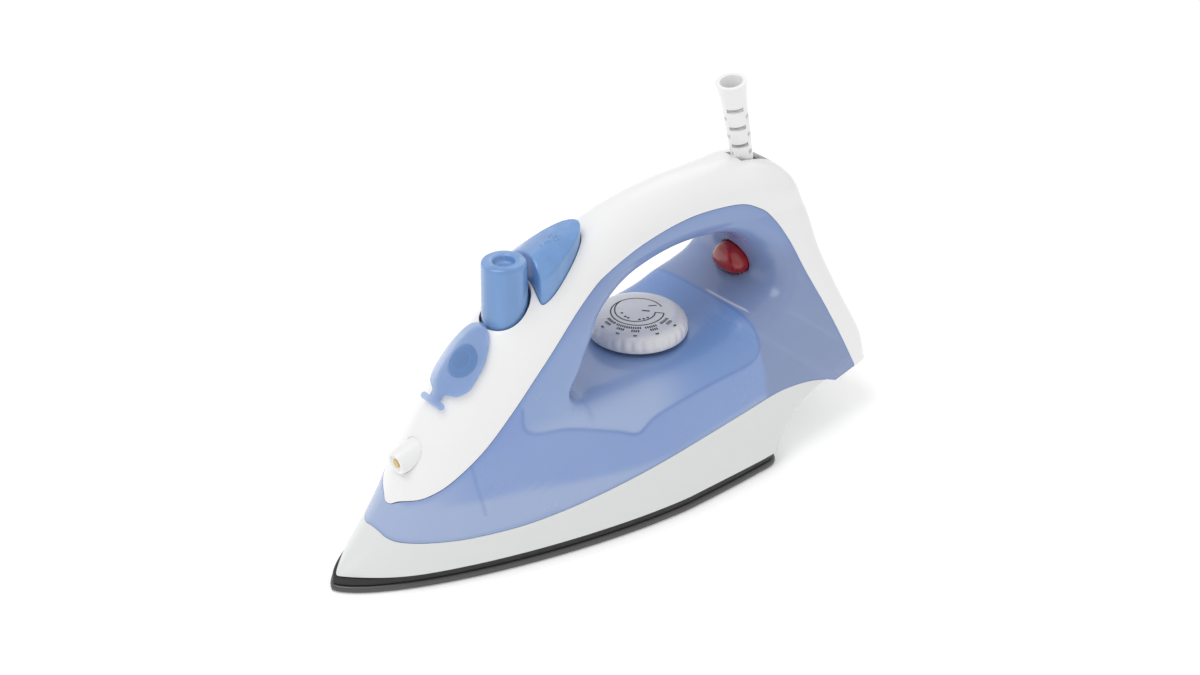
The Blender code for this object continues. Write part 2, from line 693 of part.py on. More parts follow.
def build_white_shells():
    rows = handle_rows()
    shell = body_shell("handle_shell", rows, body_half, WHITE)
    cover = body_shell("rear_cover", rows[-18:], body_half, WHITE)
    cut(cover, cover_tool("cover_shape", 0.0), "INTERSECT")
    cut(shell, cover_tool("cover_place", 0.35))
    cut(shell, cutter(rod("knob_hole", (KNOB_X, 0, 80), (KNOB_X, 0, 130), KNOB_RADIUS + 0.8, WHITE, 32)))
    cut(shell, cutter(button_block("button_hole", 0.4, 80, lambda x, y: 140)))
    cut(shell, cutter(nozzle_cone("nozzle_hole", 0.35, 4.0)))
    cut(shell, cutter(collar_tube("fill_hole", COLLAR_RADIUS + 0.4, 8.0)))
    slot = box("guard_slot", (GUARD_PIVOT[0] - 8.2, -5.4, 106), (GUARD_PIVOT[0] + 17, 5.4, 140), WHITE)
    cut(shell, cutter(slot))
    cut(cover, cutter(rod("screw_hole", (240, 0, COVER_SCREW_Z), (290, 0, COVER_SCREW_Z), 3.7, WHITE)))


def build_heel_plate():
    """The floor of the tail, between the skirt's heel and the rear cover."""
    def line(x):
        return between(x, [(244, 22.6), (257.5, 24.3), (271, 25.3)])
    xs = [246.0, 251.0, 256.0, 260.5, 264.0]
    side = [(x, body_half(x, line(x) + 1.5) - 4.2) for x in xs]
    loop = [(x, -y) for x, y in side] + [(x, y) for x, y in reversed(side)]
    plate("heel_plate", loop, line, lambda x: line(x) + 2.0, WHITE)


# ---------------------------------------------------------------- water tank inside

def build_tank_inside():
    levels = (TUB_FLOOR, 30.0, TUB_RIM)
    wall = 1.6

    def tray_ring(z, inset):
        return at_height(both_sides(inside_side(body_half, z, TUB_INSET + inset, TUB_FRONT + inset,
                                                TUB_BACK - inset, 20)), z)

    inner = [tray_ring(z, wall) for z in (TUB_FLOOR + wall,) + levels[1:]]
    outer = [tray_ring(z, 0.0) for z in levels]
    tub = stack("tank_base", inner + outer[::-1], BLUE)
    mesh = bmesh.new()
    for px, radius in ((KNOB_X, 4.95), (DIAL_X, 5.8)):
        bmesh.ops.create_cone(mesh, cap_ends=True, segments=16, radius1=radius * MM, radius2=radius * MM,
                              depth=8 * MM, matrix=Matrix.Translation(place(px, 0, TUB_FLOOR)))
    cut(tub, cutter(add_node("tub_ports", mesh, BLUE)))
    turned("spindle_sleeve", [(5.4, 56.8), (5.4, 19.0), (3.4, 19.0), (3.4, 56.8)], (DIAL_X, 0, 0), INNER, 20)
    turned("drip_valve_seat", [(7.0, 26.0), (7.0, 24.1), (4.6, 24.1), (4.6, 16.2), (1.6, 16.2), (1.6, 26.0)],
           (KNOB_X, 0, 0), BRASS, 20)
    turned("valve_gasket", [(5.6, 15.9), (5.6, 13.9), (2.6, 13.9), (2.6, 15.9)], (KNOB_X, 0, 0), SILICONE, 20)


def collar_tube(name, radius, reach):
    """A round plug along the filling mouth's axis, longer than the wall by reach each way."""
    (x, z), (nx, nz) = COLLAR_AT, FRONT_NORMAL
    return rod(name, (x + nx * reach, 0, z + nz * reach), (x - nx * reach, 0, z - nz * reach), radius, WHITE)


def build_collar():
    """The filling mouth: a funnel that runs down from the front slope into the tank."""
    profile = [(COLLAR_RADIUS, -0.6), (COLLAR_RADIUS, -5.0), (4.6, -18.0), (3.4, -18.0), (5.6, -5.0), (5.8, -0.6)]
    lean = math.atan2(FRONT_NORMAL[0], FRONT_NORMAL[1])
    turned("fill_collar", profile, (COLLAR_AT[0], 0, COLLAR_AT[1]), CLEAR_BLUE, 24, lean)


# ---------------------------------------------------------------- dial, knob and button

def build_dial():
    profile = [(0, 70.0), (11, 69.7), (18, 69.0), (20.6, 67.4), (22, 64.8), (DIAL_RADIUS, DIAL_BOTTOM),
               (20.4, DIAL_BOTTOM), (20.2, 64.6), (18.2, 66.8), (5.4, 67.6), (5.4, 62.4), (2.6, 62.4),
               (2.6, 66.6), (0, 66.6)]
    turned("dial", profile, (DIAL_X, 0, 0), GREY, 40)
    spindle = rod("thermostat_spindle", (DIAL_X, 0, 14.7), (DIAL_X, 0, 66.3), 2.5, STEEL)
    own_origin(spindle, DIAL_X, 0, 0)


def build_knob():
    top = KNOB_TOP
    profile = [(0, top - 3.6), (4.8, top - 3.6), (5.2, top), (8.7, top), (9.5, top - 1.0), (9.9, KNOB_FOOT),
               (8.3, KNOB_FOOT), (7.9, top - 5.2), (2.4, top - 5.2), (2.4, KNOB_FOOT), (0, KNOB_FOOT)]
    turned("steam_knob", profile, (KNOB_X, 0, 0), DEEP_BLUE, 32)
    rod_top = KNOB_FOOT - GAP
    stem = [(0, rod_top), (1.5, rod_top), (1.5, 47.5), (4.8, 47.5), (4.8, 45.5), (1.5, 45.5), (1.5, 27.5),
            (1.0, 26.0), (1.0, 24.6), (0, 24.6)]
    turned("steam_rod", stem, (KNOB_X, 0, 0), STEEL, 16)
    coil("steam_spring", KNOB_X, 26.4, 45.1, 3.4, 0.45, 6, STEEL)


def button_outline(grow):
    """The spray button in plan: a leaf that is hollow in front where it wraps the knob."""
    half = [(102.8 - grow, 0.0), (102.3 - grow, 4.0), (101.2 - grow, 8.5), (100.8 - grow, 11.8 + grow),
            (102.6, 12.8 + grow), (107, 12.6 + grow), (113, 11.3 + grow), (120, 8.9 + grow),
            (125.5, 5.9 + grow), (128.6 + grow * 0.7, 2.9 + grow * 0.7), (129.6 + grow, 0.0)]
    return both_sides([(x, -y) for x, y in half])


def button_top(x, y):
    """The pad's height: rising to the rear, saddle-shaped across and dished for a thumb."""
    along = max(0.0, min(1.0, (x - 102) / 29))
    across = min(1.0, abs(y) / 12.8)
    return 113.2 + 13.2 * along ** 0.9 + 6.0 * (1 - across ** 2) * (1 - along) - 1.6 * math.sin(math.pi * along)


def button_block(name, grow, low, high, material=DEEP_BLUE):
    """A solid with the button's outline from a low height up to a surface."""
    edge = button_outline(grow)
    middle = (115.0, 0.0)
    foot = low if callable(low) else (lambda x: low)
    rings = [[(x, y, foot(x)) for x, y in edge]]
    for scale, drop in ((1.0, 1.6), (0.985, 0.6), (0.93, 0.0), (0.6, 0.0), (0.25, 0.0)):
        ring = [(middle[0] + (x - middle[0]) * scale, y * scale) for x, y in edge]
        rings.append([(x, y, high(x, y) - drop) for x, y in ring])
    return stack(name, rings, material)


def build_button():
    button = button_block("spray_button", 0.0, lambda x: BUTTON_FOOT + (x - 102) * 0.5, button_top)
    own_origin(button, PUMP_X, 0, BUTTON_FOOT)
    stem_top = BUTTON_FOOT + (PUMP_X - 2.6 - 102) * 0.5 - GAP
    turned("pump_piston", [(0, stem_top), (2.6, stem_top), (2.6, 92.6), (1.6, 92.6), (1.6, 84.0), (3.0, 84.0),
                           (3.0, 79.0), (0, 79.0)], (PUMP_X, 0, 0), INNER, 16)
    turned("pump_body", [(4.7, 86.0), (4.7, 73.8), (0.0, 73.8), (0.0, 75.0), (3.2, 75.0), (3.2, 86.0)],
           (PUMP_X, 0, 0), INNER, 20)
    coil("pump_spring", PUMP_X, 86.3, 92.3, 2.6, 0.3, 4, STEEL)


def nozzle_cone(name, grow, extra):
    """The spray nozzle's cone, which points forward and a little down."""
    (xa, za), (xb, zb) = NOZZLE_ROOT, NOZZLE_END
    length = math.hypot(xb - xa, zb - za)
    ux, uz = (xb - xa) / length, (zb - za) / length
    start = (xa - ux * extra, 0, za - uz * extra)
    end = (xb + ux * extra, 0, zb + uz * extra)
    slope = (NOZZLE_RADII[0] - NOZZLE_RADII[1]) / length
    return cone(name, start, end, NOZZLE_RADII[0] + grow + slope * extra, NOZZLE_RADII[1] + grow - slope * extra,
                WHITE)


def build_nozzle():
    nozzle = nozzle_cone("spray_nozzle", 0.0, 0.0)
    (xa, za), (xb, zb) = NOZZLE_ROOT, NOZZLE_END
    cut(nozzle, cutter(rod("nozzle_bore", (xa + 5, 0, za + (za - zb) * 0.5), (xb - 5, 0, zb - (za - zb) * 0.5),
                           2.3, WHITE)))
    rod("nozzle_tip", (xa - 6, 0, za + (zb - za) * 0.5), (xb + 0.4, 0, zb - 0.4 * (zb - za) / (xb - xa)),
        1.95, BRASS)


# ---------------------------------------------------------------- lid, lamp, cord guard and wiring

def slope_point(along, y, lift):
    """A point over the front ridge: along from the lid's hinge, across by y, lifted off the surface."""
    x = LID_HINGE_X + along * FRONT_ALONG[0]
    z = ridge_height(x)
    radius, width = between(x, EDGE_RADIUS), flank_half(x, z - 12)
    depth = radius * (1 - math.sqrt(max(0.0, 1 - (y / width) ** 2))) - lift
    return (x - FRONT_NORMAL[0] * depth, y, z - FRONT_NORMAL[1] * depth)


def build_lid():
    """The leaf-shaped flap, thickened upward, with its neck and T-shaped hinge bar."""
    widths = [(0, 2.6), (3.5, 2.8), (6.5, 8.6), (12, 11.2), (20, 11.0), (28, 8.8), (34, 5.2), (36.6, 1.6)]
    rows = []
    for k in range(15):
        along = 36.6 * k / 14
        width = between(along, widths)
        rows.append([slope_point(along, width * j / 5, 0.9) for j in range(-5, 6)])
    lid = sheet("fill_lid", rows, CLEAR_BLUE)
    if sum(polygon.normal.z for polygon in lid.data.polygons) < 0:
        lid.data.flip_normals()
    thicken(lid, 1.5, 1.0)
    hinge = slope_point(0.0, 0.0, 1.9)
    bar = cutter(rod("hinge_bar", (hinge[0], -6.5, hinge[2]), (hinge[0], 6.5, hinge[2]), 1.5, CLEAR_BLUE))
    cut(lid, bar, "UNION")
    own_origin(lid, *hinge)


def build_lamp():
    """The red lens in the rear pillar with its neon lamp behind it."""
    mesh = bmesh.new()
    bmesh.ops.create_uvsphere(mesh, u_segments=20, v_segments=12, radius=1.0)
    size = Matrix.Diagonal((5.0 * MM, 9.5 * MM, 7.5 * MM, 1.0))
    where = Matrix.Translation(place(LAMP_AT[0] + 1.5, 0, LAMP_AT[1])) @ Matrix.Rotation(LAMP_LEAN, 4, "Y")
    bmesh.ops.transform(mesh, matrix=where @ size, verts=mesh.verts)
    add_node("lamp_lens", mesh, RED)
    mesh = bmesh.new()
    bmesh.ops.create_cone(mesh, cap_ends=True, segments=24, radius1=1.0, radius2=1.0, depth=1.0)
    hole = Matrix.Diagonal((7.9 * MM, 9.9 * MM, 14 * MM, 1.0))
    turn = Matrix.Rotation(math.pi / 2, 4, "Y")
    bmesh.ops.transform(mesh, matrix=where @ turn @ hole, verts=mesh.verts)
    cut(PARTS.objects["tank_shell"], cutter(add_node("lamp_hole", mesh, RED)))
    rod("neon_lamp", (228, 0, 71), (228, 0, 83), 2.6, GLASS)


def build_guard():
    """The cord guard with its drum; both lean forward and swivel about the drum's axis."""
    x, z = GUARD_PIVOT
    low, high, bore = 9.0, 51.5, 3.7
    profile = [(7.2, high), (6.6, high - 2.0), (5.6, high - 8.0), (5.4, high - 12.0), (5.2, high - 24.0),
               (4.8, high - 36.0), (4.6, low), (bore, low), (bore, high - 8.0), (4.6, high)]
    guard = turned("cord_guard", profile, (x, 0, z), WHITE, 24, GUARD_LEAN)
    drum = rod("guard_collar", (x, -7.2, z), (x, 7.2, z), 8.3, WHITE, 28)
    bore_tool = rod("collar_bore", (x, 0, z - 20), (x, 0, z + 20), bore, WHITE)
    pivot = Matrix.Translation(place(x, 0, z)) @ Matrix.Rotation(GUARD_LEAN, 4, "Y")
    bore_tool.data.transform(pivot @ Matrix.Translation(-place(x, 0, z)))
    cut(drum, cutter(bore_tool))
    own_origin(drum, x, 0, z)

    mesh = bmesh.new()
    for k in range(6):
        size = (16.0, 7.0) if k % 2 else (7.0, 16.0)
        shape = Matrix.Translation((0, 0, (GUARD_SLOT_LOW + k * GUARD_SLOT_STEP) * MM))
        shape = shape @ Matrix.Rotation(GUARD_SLOT_TURN, 4, "Z")
        bmesh.ops.create_cube(mesh, size=1.0,
                              matrix=pivot @ shape @ Matrix.Diagonal((size[0] * MM, size[1] * MM, 2.0 * MM, 1.0)))
    cut(guard, cutter(add_node("guard_slots", mesh, WHITE)))


def build_wiring(y_end):
    box("terminal_block", (222, -13, 44), (238, 13, 55), CERAMIC, 0.8)
    box("cord_clamp", (224, -9, 88), (236, 9, 91), INNER, 0.5)

    x = ELEMENT_BACK + 5.0
    tube("wire_live", [(x + 2.8, -y_end, 20.1), (200, -y_end + 6, 20.1), (212, -20, 24), (217, -9, 36),
                       (220.6, -6, 48)], 1.0, WIRE, 4, 1)
    tube("wire_neutral", [(x + 2.8, y_end, 20.1), (200, y_end - 6, 20.1), (212, 20, 24), (217, 9, 36),
                          (220.6, 6, 48)], 1.0, WIRE, 4, 1)
    tube("lamp_lead", [(228, 0, 70.5), (228.5, 0, 66), (229.4, 0, 61), (230, 0, 55.6)], 0.8, WIRE, 3, 1)
    tube("earth_lead", [(HEEL_SCREW[0] + 3.9, HEEL_SCREW[1] - 10, 20.1), (212, 6, 24), (217, 2, 36),
                        (220.6, 0, 48)], 1.0, WIRE, 4, 1)
    tube("suction_tube", [(PUMP_X - 3, 0, 73.2), (101.6, 0, 68), (101, 0, 58), (101, 0, 40), (101, 0, 25.6)],
         1.3, INNER, 4, 1)
    tube("spray_hose", [(101.2, 4, 78), (96, 8, 76), (84, 11, 68), (70, 12.5, 57), (56, 9, 50), (49.6, 3, 49.2),
                        (47.6, 0, 48.8)], 1.3, INNER, 4, 1)
    turned("cover_screw", [(0, 0), (3.0, 0), (3.3, -1.2), (1.6, -1.4), (1.6, -12), (0, -12)],
           (COVER_SCREW_X, 0, COVER_SCREW_Z), STEEL, 16, math.pi / 2)


def build():
    build_soleplate()
    y_end = build_element()
    build_heat_shield(y_end)
    build_controls_below()
    build_skirt()
    build_tank_shell()
    build_white_shells()
    build_heel_plate()
    build_tank_inside()
    build_collar()
    build_dial()
    build_knob()
    build_button()
    build_nozzle()
    build_lid()
    build_lamp()
    build_guard()
    build_wiring(y_end)


build()
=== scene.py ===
"""Looks of a corded steam iron: fine outer surfaces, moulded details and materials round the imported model.

Design positions are in millimetres: x runs from the soleplate's tip to the heel, y across,
z up from the ironing surface. place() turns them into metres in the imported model's frame.
"""

import json
import math

import bmesh
import bpy
import numpy as np
from mathutils import Matrix, Vector


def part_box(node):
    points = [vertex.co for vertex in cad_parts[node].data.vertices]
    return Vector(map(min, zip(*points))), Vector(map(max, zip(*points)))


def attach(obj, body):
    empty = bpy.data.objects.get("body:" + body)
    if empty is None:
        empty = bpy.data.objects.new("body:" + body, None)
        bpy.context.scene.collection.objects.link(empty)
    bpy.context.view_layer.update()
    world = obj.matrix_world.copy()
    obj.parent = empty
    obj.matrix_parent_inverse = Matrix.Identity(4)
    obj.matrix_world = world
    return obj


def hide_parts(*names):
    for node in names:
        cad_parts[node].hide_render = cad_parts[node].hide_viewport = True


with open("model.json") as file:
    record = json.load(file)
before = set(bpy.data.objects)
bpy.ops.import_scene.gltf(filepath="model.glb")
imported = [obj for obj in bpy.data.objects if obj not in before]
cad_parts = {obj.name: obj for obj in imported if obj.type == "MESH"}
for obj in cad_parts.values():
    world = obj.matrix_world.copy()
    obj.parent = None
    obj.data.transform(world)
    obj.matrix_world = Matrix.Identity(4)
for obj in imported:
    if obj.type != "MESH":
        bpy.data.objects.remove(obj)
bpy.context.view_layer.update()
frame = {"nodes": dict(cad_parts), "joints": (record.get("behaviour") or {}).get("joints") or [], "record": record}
MM = 0.001


def cad_box(node):
    """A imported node's lowest and highest corners in design millimetres."""
    low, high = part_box(node)
    shift = Vector((MIDDLE_X, 0, 0))
    return low / MM + shift, high / MM + shift


MIDDLE_X = -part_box("soleplate")[0].x / MM
SOLE_LENGTH = cad_box("soleplate")[1].x
SOLE_HALF_WIDTH = cad_box("soleplate")[1].y
SOLE_TOP = cad_box("soleplate")[1].z
SKIRT_FOOT_Z = cad_box("skirt")[0].z
DIAL_X = sum(corner.x for corner in cad_box("dial")) / 2
KNOB_X = sum(corner.x for corner in cad_box("steam_knob")) / 2
KNOB_FOOT, KNOB_TOP = (corner.z for corner in cad_box("steam_knob"))
BUTTON_FOOT = cad_box("spray_button")[0].z
JOINTS = {joint["name"]: joint for joint in frame["joints"]}
LID_HINGE = Vector(JOINTS["lid_flip"]["pos_m"]) / MM + Vector((MIDDLE_X, 0, 0))
GUARD_PIVOT = Vector(JOINTS["cord_guard_swing"]["pos_m"]) / MM + Vector((MIDDLE_X, 0, 0))
GUARD_LEAN = math.radians(-12)
FRONT_ALONG = Vector((0.72, 0, 0.69))
FRONT_NORMAL = Vector((-0.69, 0, 0.72))
COLLAR_AT = Vector((69.0, 0, 82.0))
COLLAR_RADIUS = 7.0
NOZZLE_ROOT = Vector((46.5, 0, 48.6))
NOZZLE_END = Vector((34.0, 0, 47.1))
COVER_TOP = 92.0
COVER_SCREW = Vector((258.0, 0, 52.0))
SEAM_GAP = 0.22
WALL = 1.8

# Side view outlines, nose at the left
OUTLINE = [(2.9, 6.6), (13.2, 13.6), (22.1, 21.3), (29, 30.5), (34.1, 39.8), (40.6, 49.1), (52, 64.2),
           (67.8, 81.5), (86.6, 97.9), (105.5, 109.4), (125.5, 118.5), (149.8, 126.1), (178, 129),
           (204, 127.9), (222.9, 125.5), (237.2, 118.5), (244.5, 102.7), (248.9, 82.7), (258.3, 59.4),
           (267.4, 40.3), (271, 25)]
TONGUE_JOINT = 3
OPENING = [(106, 64), (112, 71), (121, 80), (131, 89), (142, 95), (155, 98.5), (172, 100.5), (188, 100),
           (204, 96.8), (213.5, 89.5), (218.3, 80), (217, 73), (209.5, 69.3), (199, 66.3), (187, 61.6),
           (165, 59.5), (145, 59.5), (125, 59.5), (112, 60)]
SEAM = [(32, 33.2), (38.5, 36), (48.3, 41.7), (62, 52.4), (77, 66.6), (92, 80.6), (111, 96), (130, 106),
        (152, 113), (178, 116.5), (203, 114.5), (214, 110), (221, 104), (227, 93), (233, 77),
        (241, 59.5), (250, 40), (257.5, 24)]
SKIRT_TOP = [(22.1, 21.3), (22.8, 20), (25.2, 19.1), (31, 18.8), (40, 18.6), (53, 18), (70, 18),
             (87, 19.2), (107, 21.4), (125, 23.8), (145, 26.4), (165, 28.6), (185, 30.6), (206, 32),
             (222, 30.2), (234, 26.8), (244, 22.3)]
SKIRT_HEEL = [(205, 6.6), (210, 12), (219, 17.5), (231, 20.7), (244, 22.3)]

# Where the tank's nose strip ends, and the opening's edge that each station of its border faces
SEAM_CUT = 6
SKIRT_CUT = 7
SEAM_MATCH = [(6, 1), (7, 2), (11, 8), (14, 10), (18, 12)]
SKIRT_MATCH = [(7, 18), (9, 17), (13, 13), (16, 12.3)]

# Half widths along the length: low on the flank, half way up, and at the grip
LOW_REAR = [(150, 51), (190, 50.5), (215, 48), (240, 44), (262, 41), (275, 39)]
WAIST = [(0, 0), (30, 15), (60, 23), (100, 30), (140, 34), (190, 36), (230, 36), (275, 37)]
CROWN = [(0, 10), (60, 20), (100, 20), (130, 17), (160, 16), (200, 17), (235, 22), (275, 30)]
EDGE_RADIUS = [(0, 9), (20, 14), (60, 24), (100, 21), (140, 16), (200, 16), (240, 13), (275, 9)]

# The tank's inner walls, which show through its sides
POCKET_EDGE = [(80, 66), (79.5, 58.6), (84, 54.5), (99, 52), (120, 44.5), (130, 40.6), (140, 44.6),
               (160, 47.3), (177, 48.6), (193, 49.4), (200, 53.5), (200, 62), (200, 70)]
FLOOR_EDGE = [(58, 33.5), (76, 33.2), (100, 30), (128, 27.6), (145, 28), (170, 31.3), (194, 34.3), (240, 30)]
FRONT_RIB = [(56.2, 47.5), (56.6, 37.6), (57.8, 26.5)]
MIDDLE_RIB = [(112, 80), (111, 67), (110, 52)]
# Mould lines on the pillar by the lamp, painted as thin white highlight lines on the near side only
MOULD_LINE_HIGHLIGHTS = [[(188, 77.2), (196, 79), (204, 82.4)], [(193.5, 70), (203, 66.4)]]

# The dial, knob, lamp lens and cord guard.
DIAL_PROFILE = [(0, 70.0), (5, 69.98), (9, 69.9), (12.5, 69.72), (15.5, 69.4), (17.6, 69.0), (19.0, 68.45),
                (20.0, 67.75), (20.8, 66.7), (21.3, 65.4), (21.6, 63.9), (21.72, 62.4), (21.6, 61.6), (21.2, 61.3),
                (20.4, 61.3), (20.2, 64.6), (18.2, 66.8), (5.4, 67.6), (5.4, 62.4), (2.6, 62.4), (2.6, 66.6),
                (0, 66.6)]
SCALLOPS = 30
KNOB_RADIUS = 9.9
GUARD_SLOT = ((-7.9, -5.2, -7.5), (12.0, 5.2, 27.0))
LAMP_AT = Vector((217.5, 0, 77.0))
LAMP_LEAN = math.radians(4)
GUARD_SLOT_LOW = 17.0
GUARD_SLOT_STEP = 4.5
GUARD_SLOT_TURN = math.radians(50)

# The camera, in design millimetres, and the soft box lights: place, size and strength.
CAMERA_AT = (-373.1, -613.3, 545.9)
CAMERA_VIEW = (0.5510, 0.6567, -0.5150)
AMBIENT = 0.76
LIGHTS = [("key", (-0.45, 0.15, 1.3), 0.9, 5.6), ("fill", (-0.2, -1.3, 0.5), 1.2, 0.4),
          ("rim", (0.9, 0.6, 0.9), 0.8, 1.0)]

# ---------------------------------------------------------------- curves and the body's shape

def curve_at(points, u):
    """The smooth curve's points at u, counted in spans from its first point."""
    p = np.array(points, float)
    p = np.vstack([2 * p[0] - p[1], p, 2 * p[-1] - p[-2]])
    u = np.asarray(u, float)
    i = np.clip(u.astype(int), 0, len(points) - 2)
    t = (u - i)[..., None]
    a, b, c, d = p[i], p[i + 1], p[i + 2], p[i + 3]
    return 0.5 * (2 * b + (c - a) * t + (2 * a - 5 * b + 4 * c - d) * t ** 2 + (3 * b - a - 3 * c + d) * t ** 3)


def spline(points, steps):
    """A smooth line through the points, with the given steps between neighbours."""
    return curve_at(points, np.linspace(0, len(points) - 1, (len(points) - 1) * steps + 1))


def between(x, stations):
    """Smooth values at x from (x, value) stations, without overshoot."""
    xs, ys = np.array(stations, float).T
    slopes = np.diff(ys) / np.diff(xs)
    left, right = slopes[:-1], slopes[1:]
    same_way = left * right > 0
    inner = np.where(same_way, 2 * left * right / np.where(same_way, left + right, 1), 0.0)
    tangents = np.concatenate([slopes[:1], inner, slopes[-1:]])
    x = np.clip(x, xs[0], xs[-1])
    i = np.clip(np.searchsorted(xs, x, side="right") - 1, 0, len(slopes) - 1)
    span = xs[i + 1] - xs[i]
    t = (x - xs[i]) / span
    return ((1 + 2 * t) * (1 - t) ** 2 * ys[i] + t * (1 - t) ** 2 * span * tangents[i]
            + t * t * (3 - 2 * t) * ys[i + 1] + t * t * (t - 1) * span * tangents[i + 1])


def distance(x, z, line):
    """The distance from each point to a line of points."""
    best = np.full(np.shape(x), np.inf)
    for (ax, az), (bx, bz) in zip(line[:-1], line[1:]):
        ux, uz = bx - ax, bz - az
        t = np.clip(((x - ax) * ux + (z - az) * uz) / max(ux * ux + uz * uz, 1e-9), 0, 1)
        best = np.minimum(best, np.hypot(x - ax - t * ux, z - az - t * uz))
    return best


def edge_round(depth, radius, power):
    """How much of the full width is left at a depth inside an edge."""
    t = np.clip(1.0 - np.maximum(depth, 0.0) / radius, 0, 1)
    return (1.0 - t ** power) ** (1.0 / power)


OUTLINE_CURVE = spline(OUTLINE, 10)
OPENING_WRAPPED = [OPENING[-1]] + OPENING + OPENING[:2]
OPENING_RING = curve_at(OPENING_WRAPPED, np.linspace(1, 1 + len(OPENING), len(OPENING) * 8 + 1))
HEEL_CURVE = spline(SKIRT_HEEL, 6)


def low_half(x):
    """Half width of the lower edge: a pointed nose that widens to parallel flanks."""
    nose = 51 * (1 - (1 - np.clip(x, 0, 150) / 150) ** 1.5) ** (2 / 3)
    return np.where(x < 150, nose, between(x, LOW_REAR))


def flank_half(x, z):
    """Half width of the flank before its edges are rounded."""
    t = np.clip((z - 8) / 97, 0, 1)
    return (low_half(x) * (1 - t) * (1 - 2 * t) + 4 * between(x, WAIST) * t * (1 - t)
            + between(x, CROWN) * t * (2 * t - 1))


def body_half(x, z):
    """Half width of the whole body at side view points."""
    power = between(x, [(190, 2.0), (245, 3.0)])
    deck = between(z, [(70, 1.0), (90, 0.0)])
    return (flank_half(x, z)
            * edge_round(distance(x, z, OUTLINE_CURVE), between(x, EDGE_RADIUS), power)
            * edge_round(distance(x, z, OPENING_RING), 13 - 4 * deck, 2.3 + 1.4 * deck))


def skirt_half(x, z):
    """Half width of the skirt, rounded into its concave heel."""
    return body_half(x, z) * edge_round(distance(x, z, HEEL_CURVE), 5.0, 3.0)


def sole_edge(inset):
    """The soleplate's outline in plan, moved inward: a closed loop of (x, y) points from the tip."""
    a = np.linspace(0, math.pi / 2, 61)
    nose = np.stack([150 * (1 - np.cos(a) ** (4 / 3)), SOLE_HALF_WIDTH * np.sin(a) ** (4 / 3)], 1)
    heel_radius, heel_power = 14.0, 3.2
    b = np.linspace(math.pi / 2, 0, 21)
    heel = np.stack([SOLE_LENGTH - heel_radius + heel_radius * np.cos(b) ** (2 / heel_power),
                     (SOLE_HALF_WIDTH - 1) * np.sin(b) ** (2 / heel_power)], 1)
    side = np.vstack([nose, [(160, SOLE_HALF_WIDTH), (178, SOLE_HALF_WIDTH - 0.3)], heel])
    step = np.gradient(side, axis=0)
    normal = np.stack([step[:, 1], -step[:, 0]], 1) / np.hypot(*step.T)[:, None]
    moved = side + normal * inset
    first = np.argmax(moved[:, 1] > 0.3)
    counts = np.linspace(first, len(moved) - 1, 90)
    side = np.column_stack([np.interp(counts, np.arange(len(moved)), moved[:, k]) for k in (0, 1)])
    ahead = (max(side[0, 0] - side[0, 1] * 0.55, 0.0), 0.0)
    side = np.vstack([[ahead], side, [(SOLE_LENGTH - inset, 0.0)]])
    return np.vstack([side, side[-2:0:-1] * (1, -1)])


def evened(side, count=100):
    """A closed loop from a left side, with points at even shares of its length that crowd at the tip."""
    length = np.concatenate([[0], np.cumsum(np.hypot(*np.diff(side, axis=0).T))])
    shares = np.linspace(0, 1, count) ** 1.4 * length[-1]
    side = np.column_stack([np.interp(shares, length, side[:, k]) for k in (0, 1)])
    return np.vstack([side, side[-2:0:-1] * (1, -1)])


def inside_side(z, inset, back):
    """The loop of the space inside the skirt at one height, with a blunt front and a flat back."""
    x = np.linspace(4, back, 800)
    clear = (skirt_half(x, z + 0 * x) > inset + 0.5) & (np.interp(x, *OUTLINE_CURVE.T) > z + inset)
    x = x[np.argmax(clear)] + (back - x[np.argmax(clear)]) * np.linspace(0, 1, 120) ** 1.8
    y = (skirt_half(x, z + 0 * x) - inset) * edge_round(x - x[0], 10.0, 2.2)
    return evened(np.vstack([np.column_stack([x, y]), [(back, 0)]]))


def sole_width(x):
    """The soleplate's half width at x, ahead of its heel corners."""
    return SOLE_HALF_WIDTH * (1 - (1 - min(x, 150) / 150) ** 1.5) ** (2 / 3)


def place(points):
    """Design points in metres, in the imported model's frame."""
    return (np.asarray(points, float) - (MIDDLE_X, 0, 0)) * MM


# ---------------------------------------------------------------- mesh helpers

def new_object(name, mesh, material=None):
    data = bpy.data.meshes.new(name)
    mesh.to_mesh(data)
    mesh.free()
    if material:
        data.materials.append(material)
    obj = bpy.data.objects.new(name, data)
    bpy.context.scene.collection.objects.link(obj)
    return obj


def grid(mesh, points, closed_rows=False, closed_columns=False):
    """Quads through an array of design points, rows by columns."""
    points = place(points)
    verts = [[mesh.verts.new(point) for point in row] for row in points]
    for near, far in zip(verts, verts[1:] + verts[:1] if closed_rows else verts[1:]):
        ends = zip(range(len(near)), list(range(1, len(near))) + ([0] if closed_columns else []))
        for i, j in ends:
            mesh.faces.new((near[i], near[j], far[j], far[i]))
    return verts


def weld(mesh):
    """Joins the points that meet and drops the faces that this leaves flat."""
    bmesh.ops.remove_doubles(mesh, verts=mesh.verts, dist=0.01 * MM)
    bmesh.ops.dissolve_degenerate(mesh, dist=0.005 * MM, edges=mesh.edges)
    bmesh.ops.recalc_face_normals(mesh, faces=mesh.faces)


def settle(obj, angle=32.0):
    """Applies the object's modifiers and shades it smooth between its sharp edges."""
    graph = bpy.context.evaluated_depsgraph_get()
    data = bpy.data.meshes.new_from_object(obj.evaluated_get(graph))
    obj.modifiers.clear()
    obj.data = data
    data.polygons.foreach_set("use_smooth", np.ones(len(data.polygons), bool))
    data.set_sharp_from_angle(angle=math.radians(angle))
    return obj


def bevel(obj, width, segments=2, angle=40.0):
    edge = obj.modifiers.new("edges", "BEVEL")
    edge.width = width * MM
    edge.segments = segments
    edge.limit_method = "ANGLE"
    edge.angle_limit = math.radians(angle)
    edge.use_clamp_overlap = True
    return obj


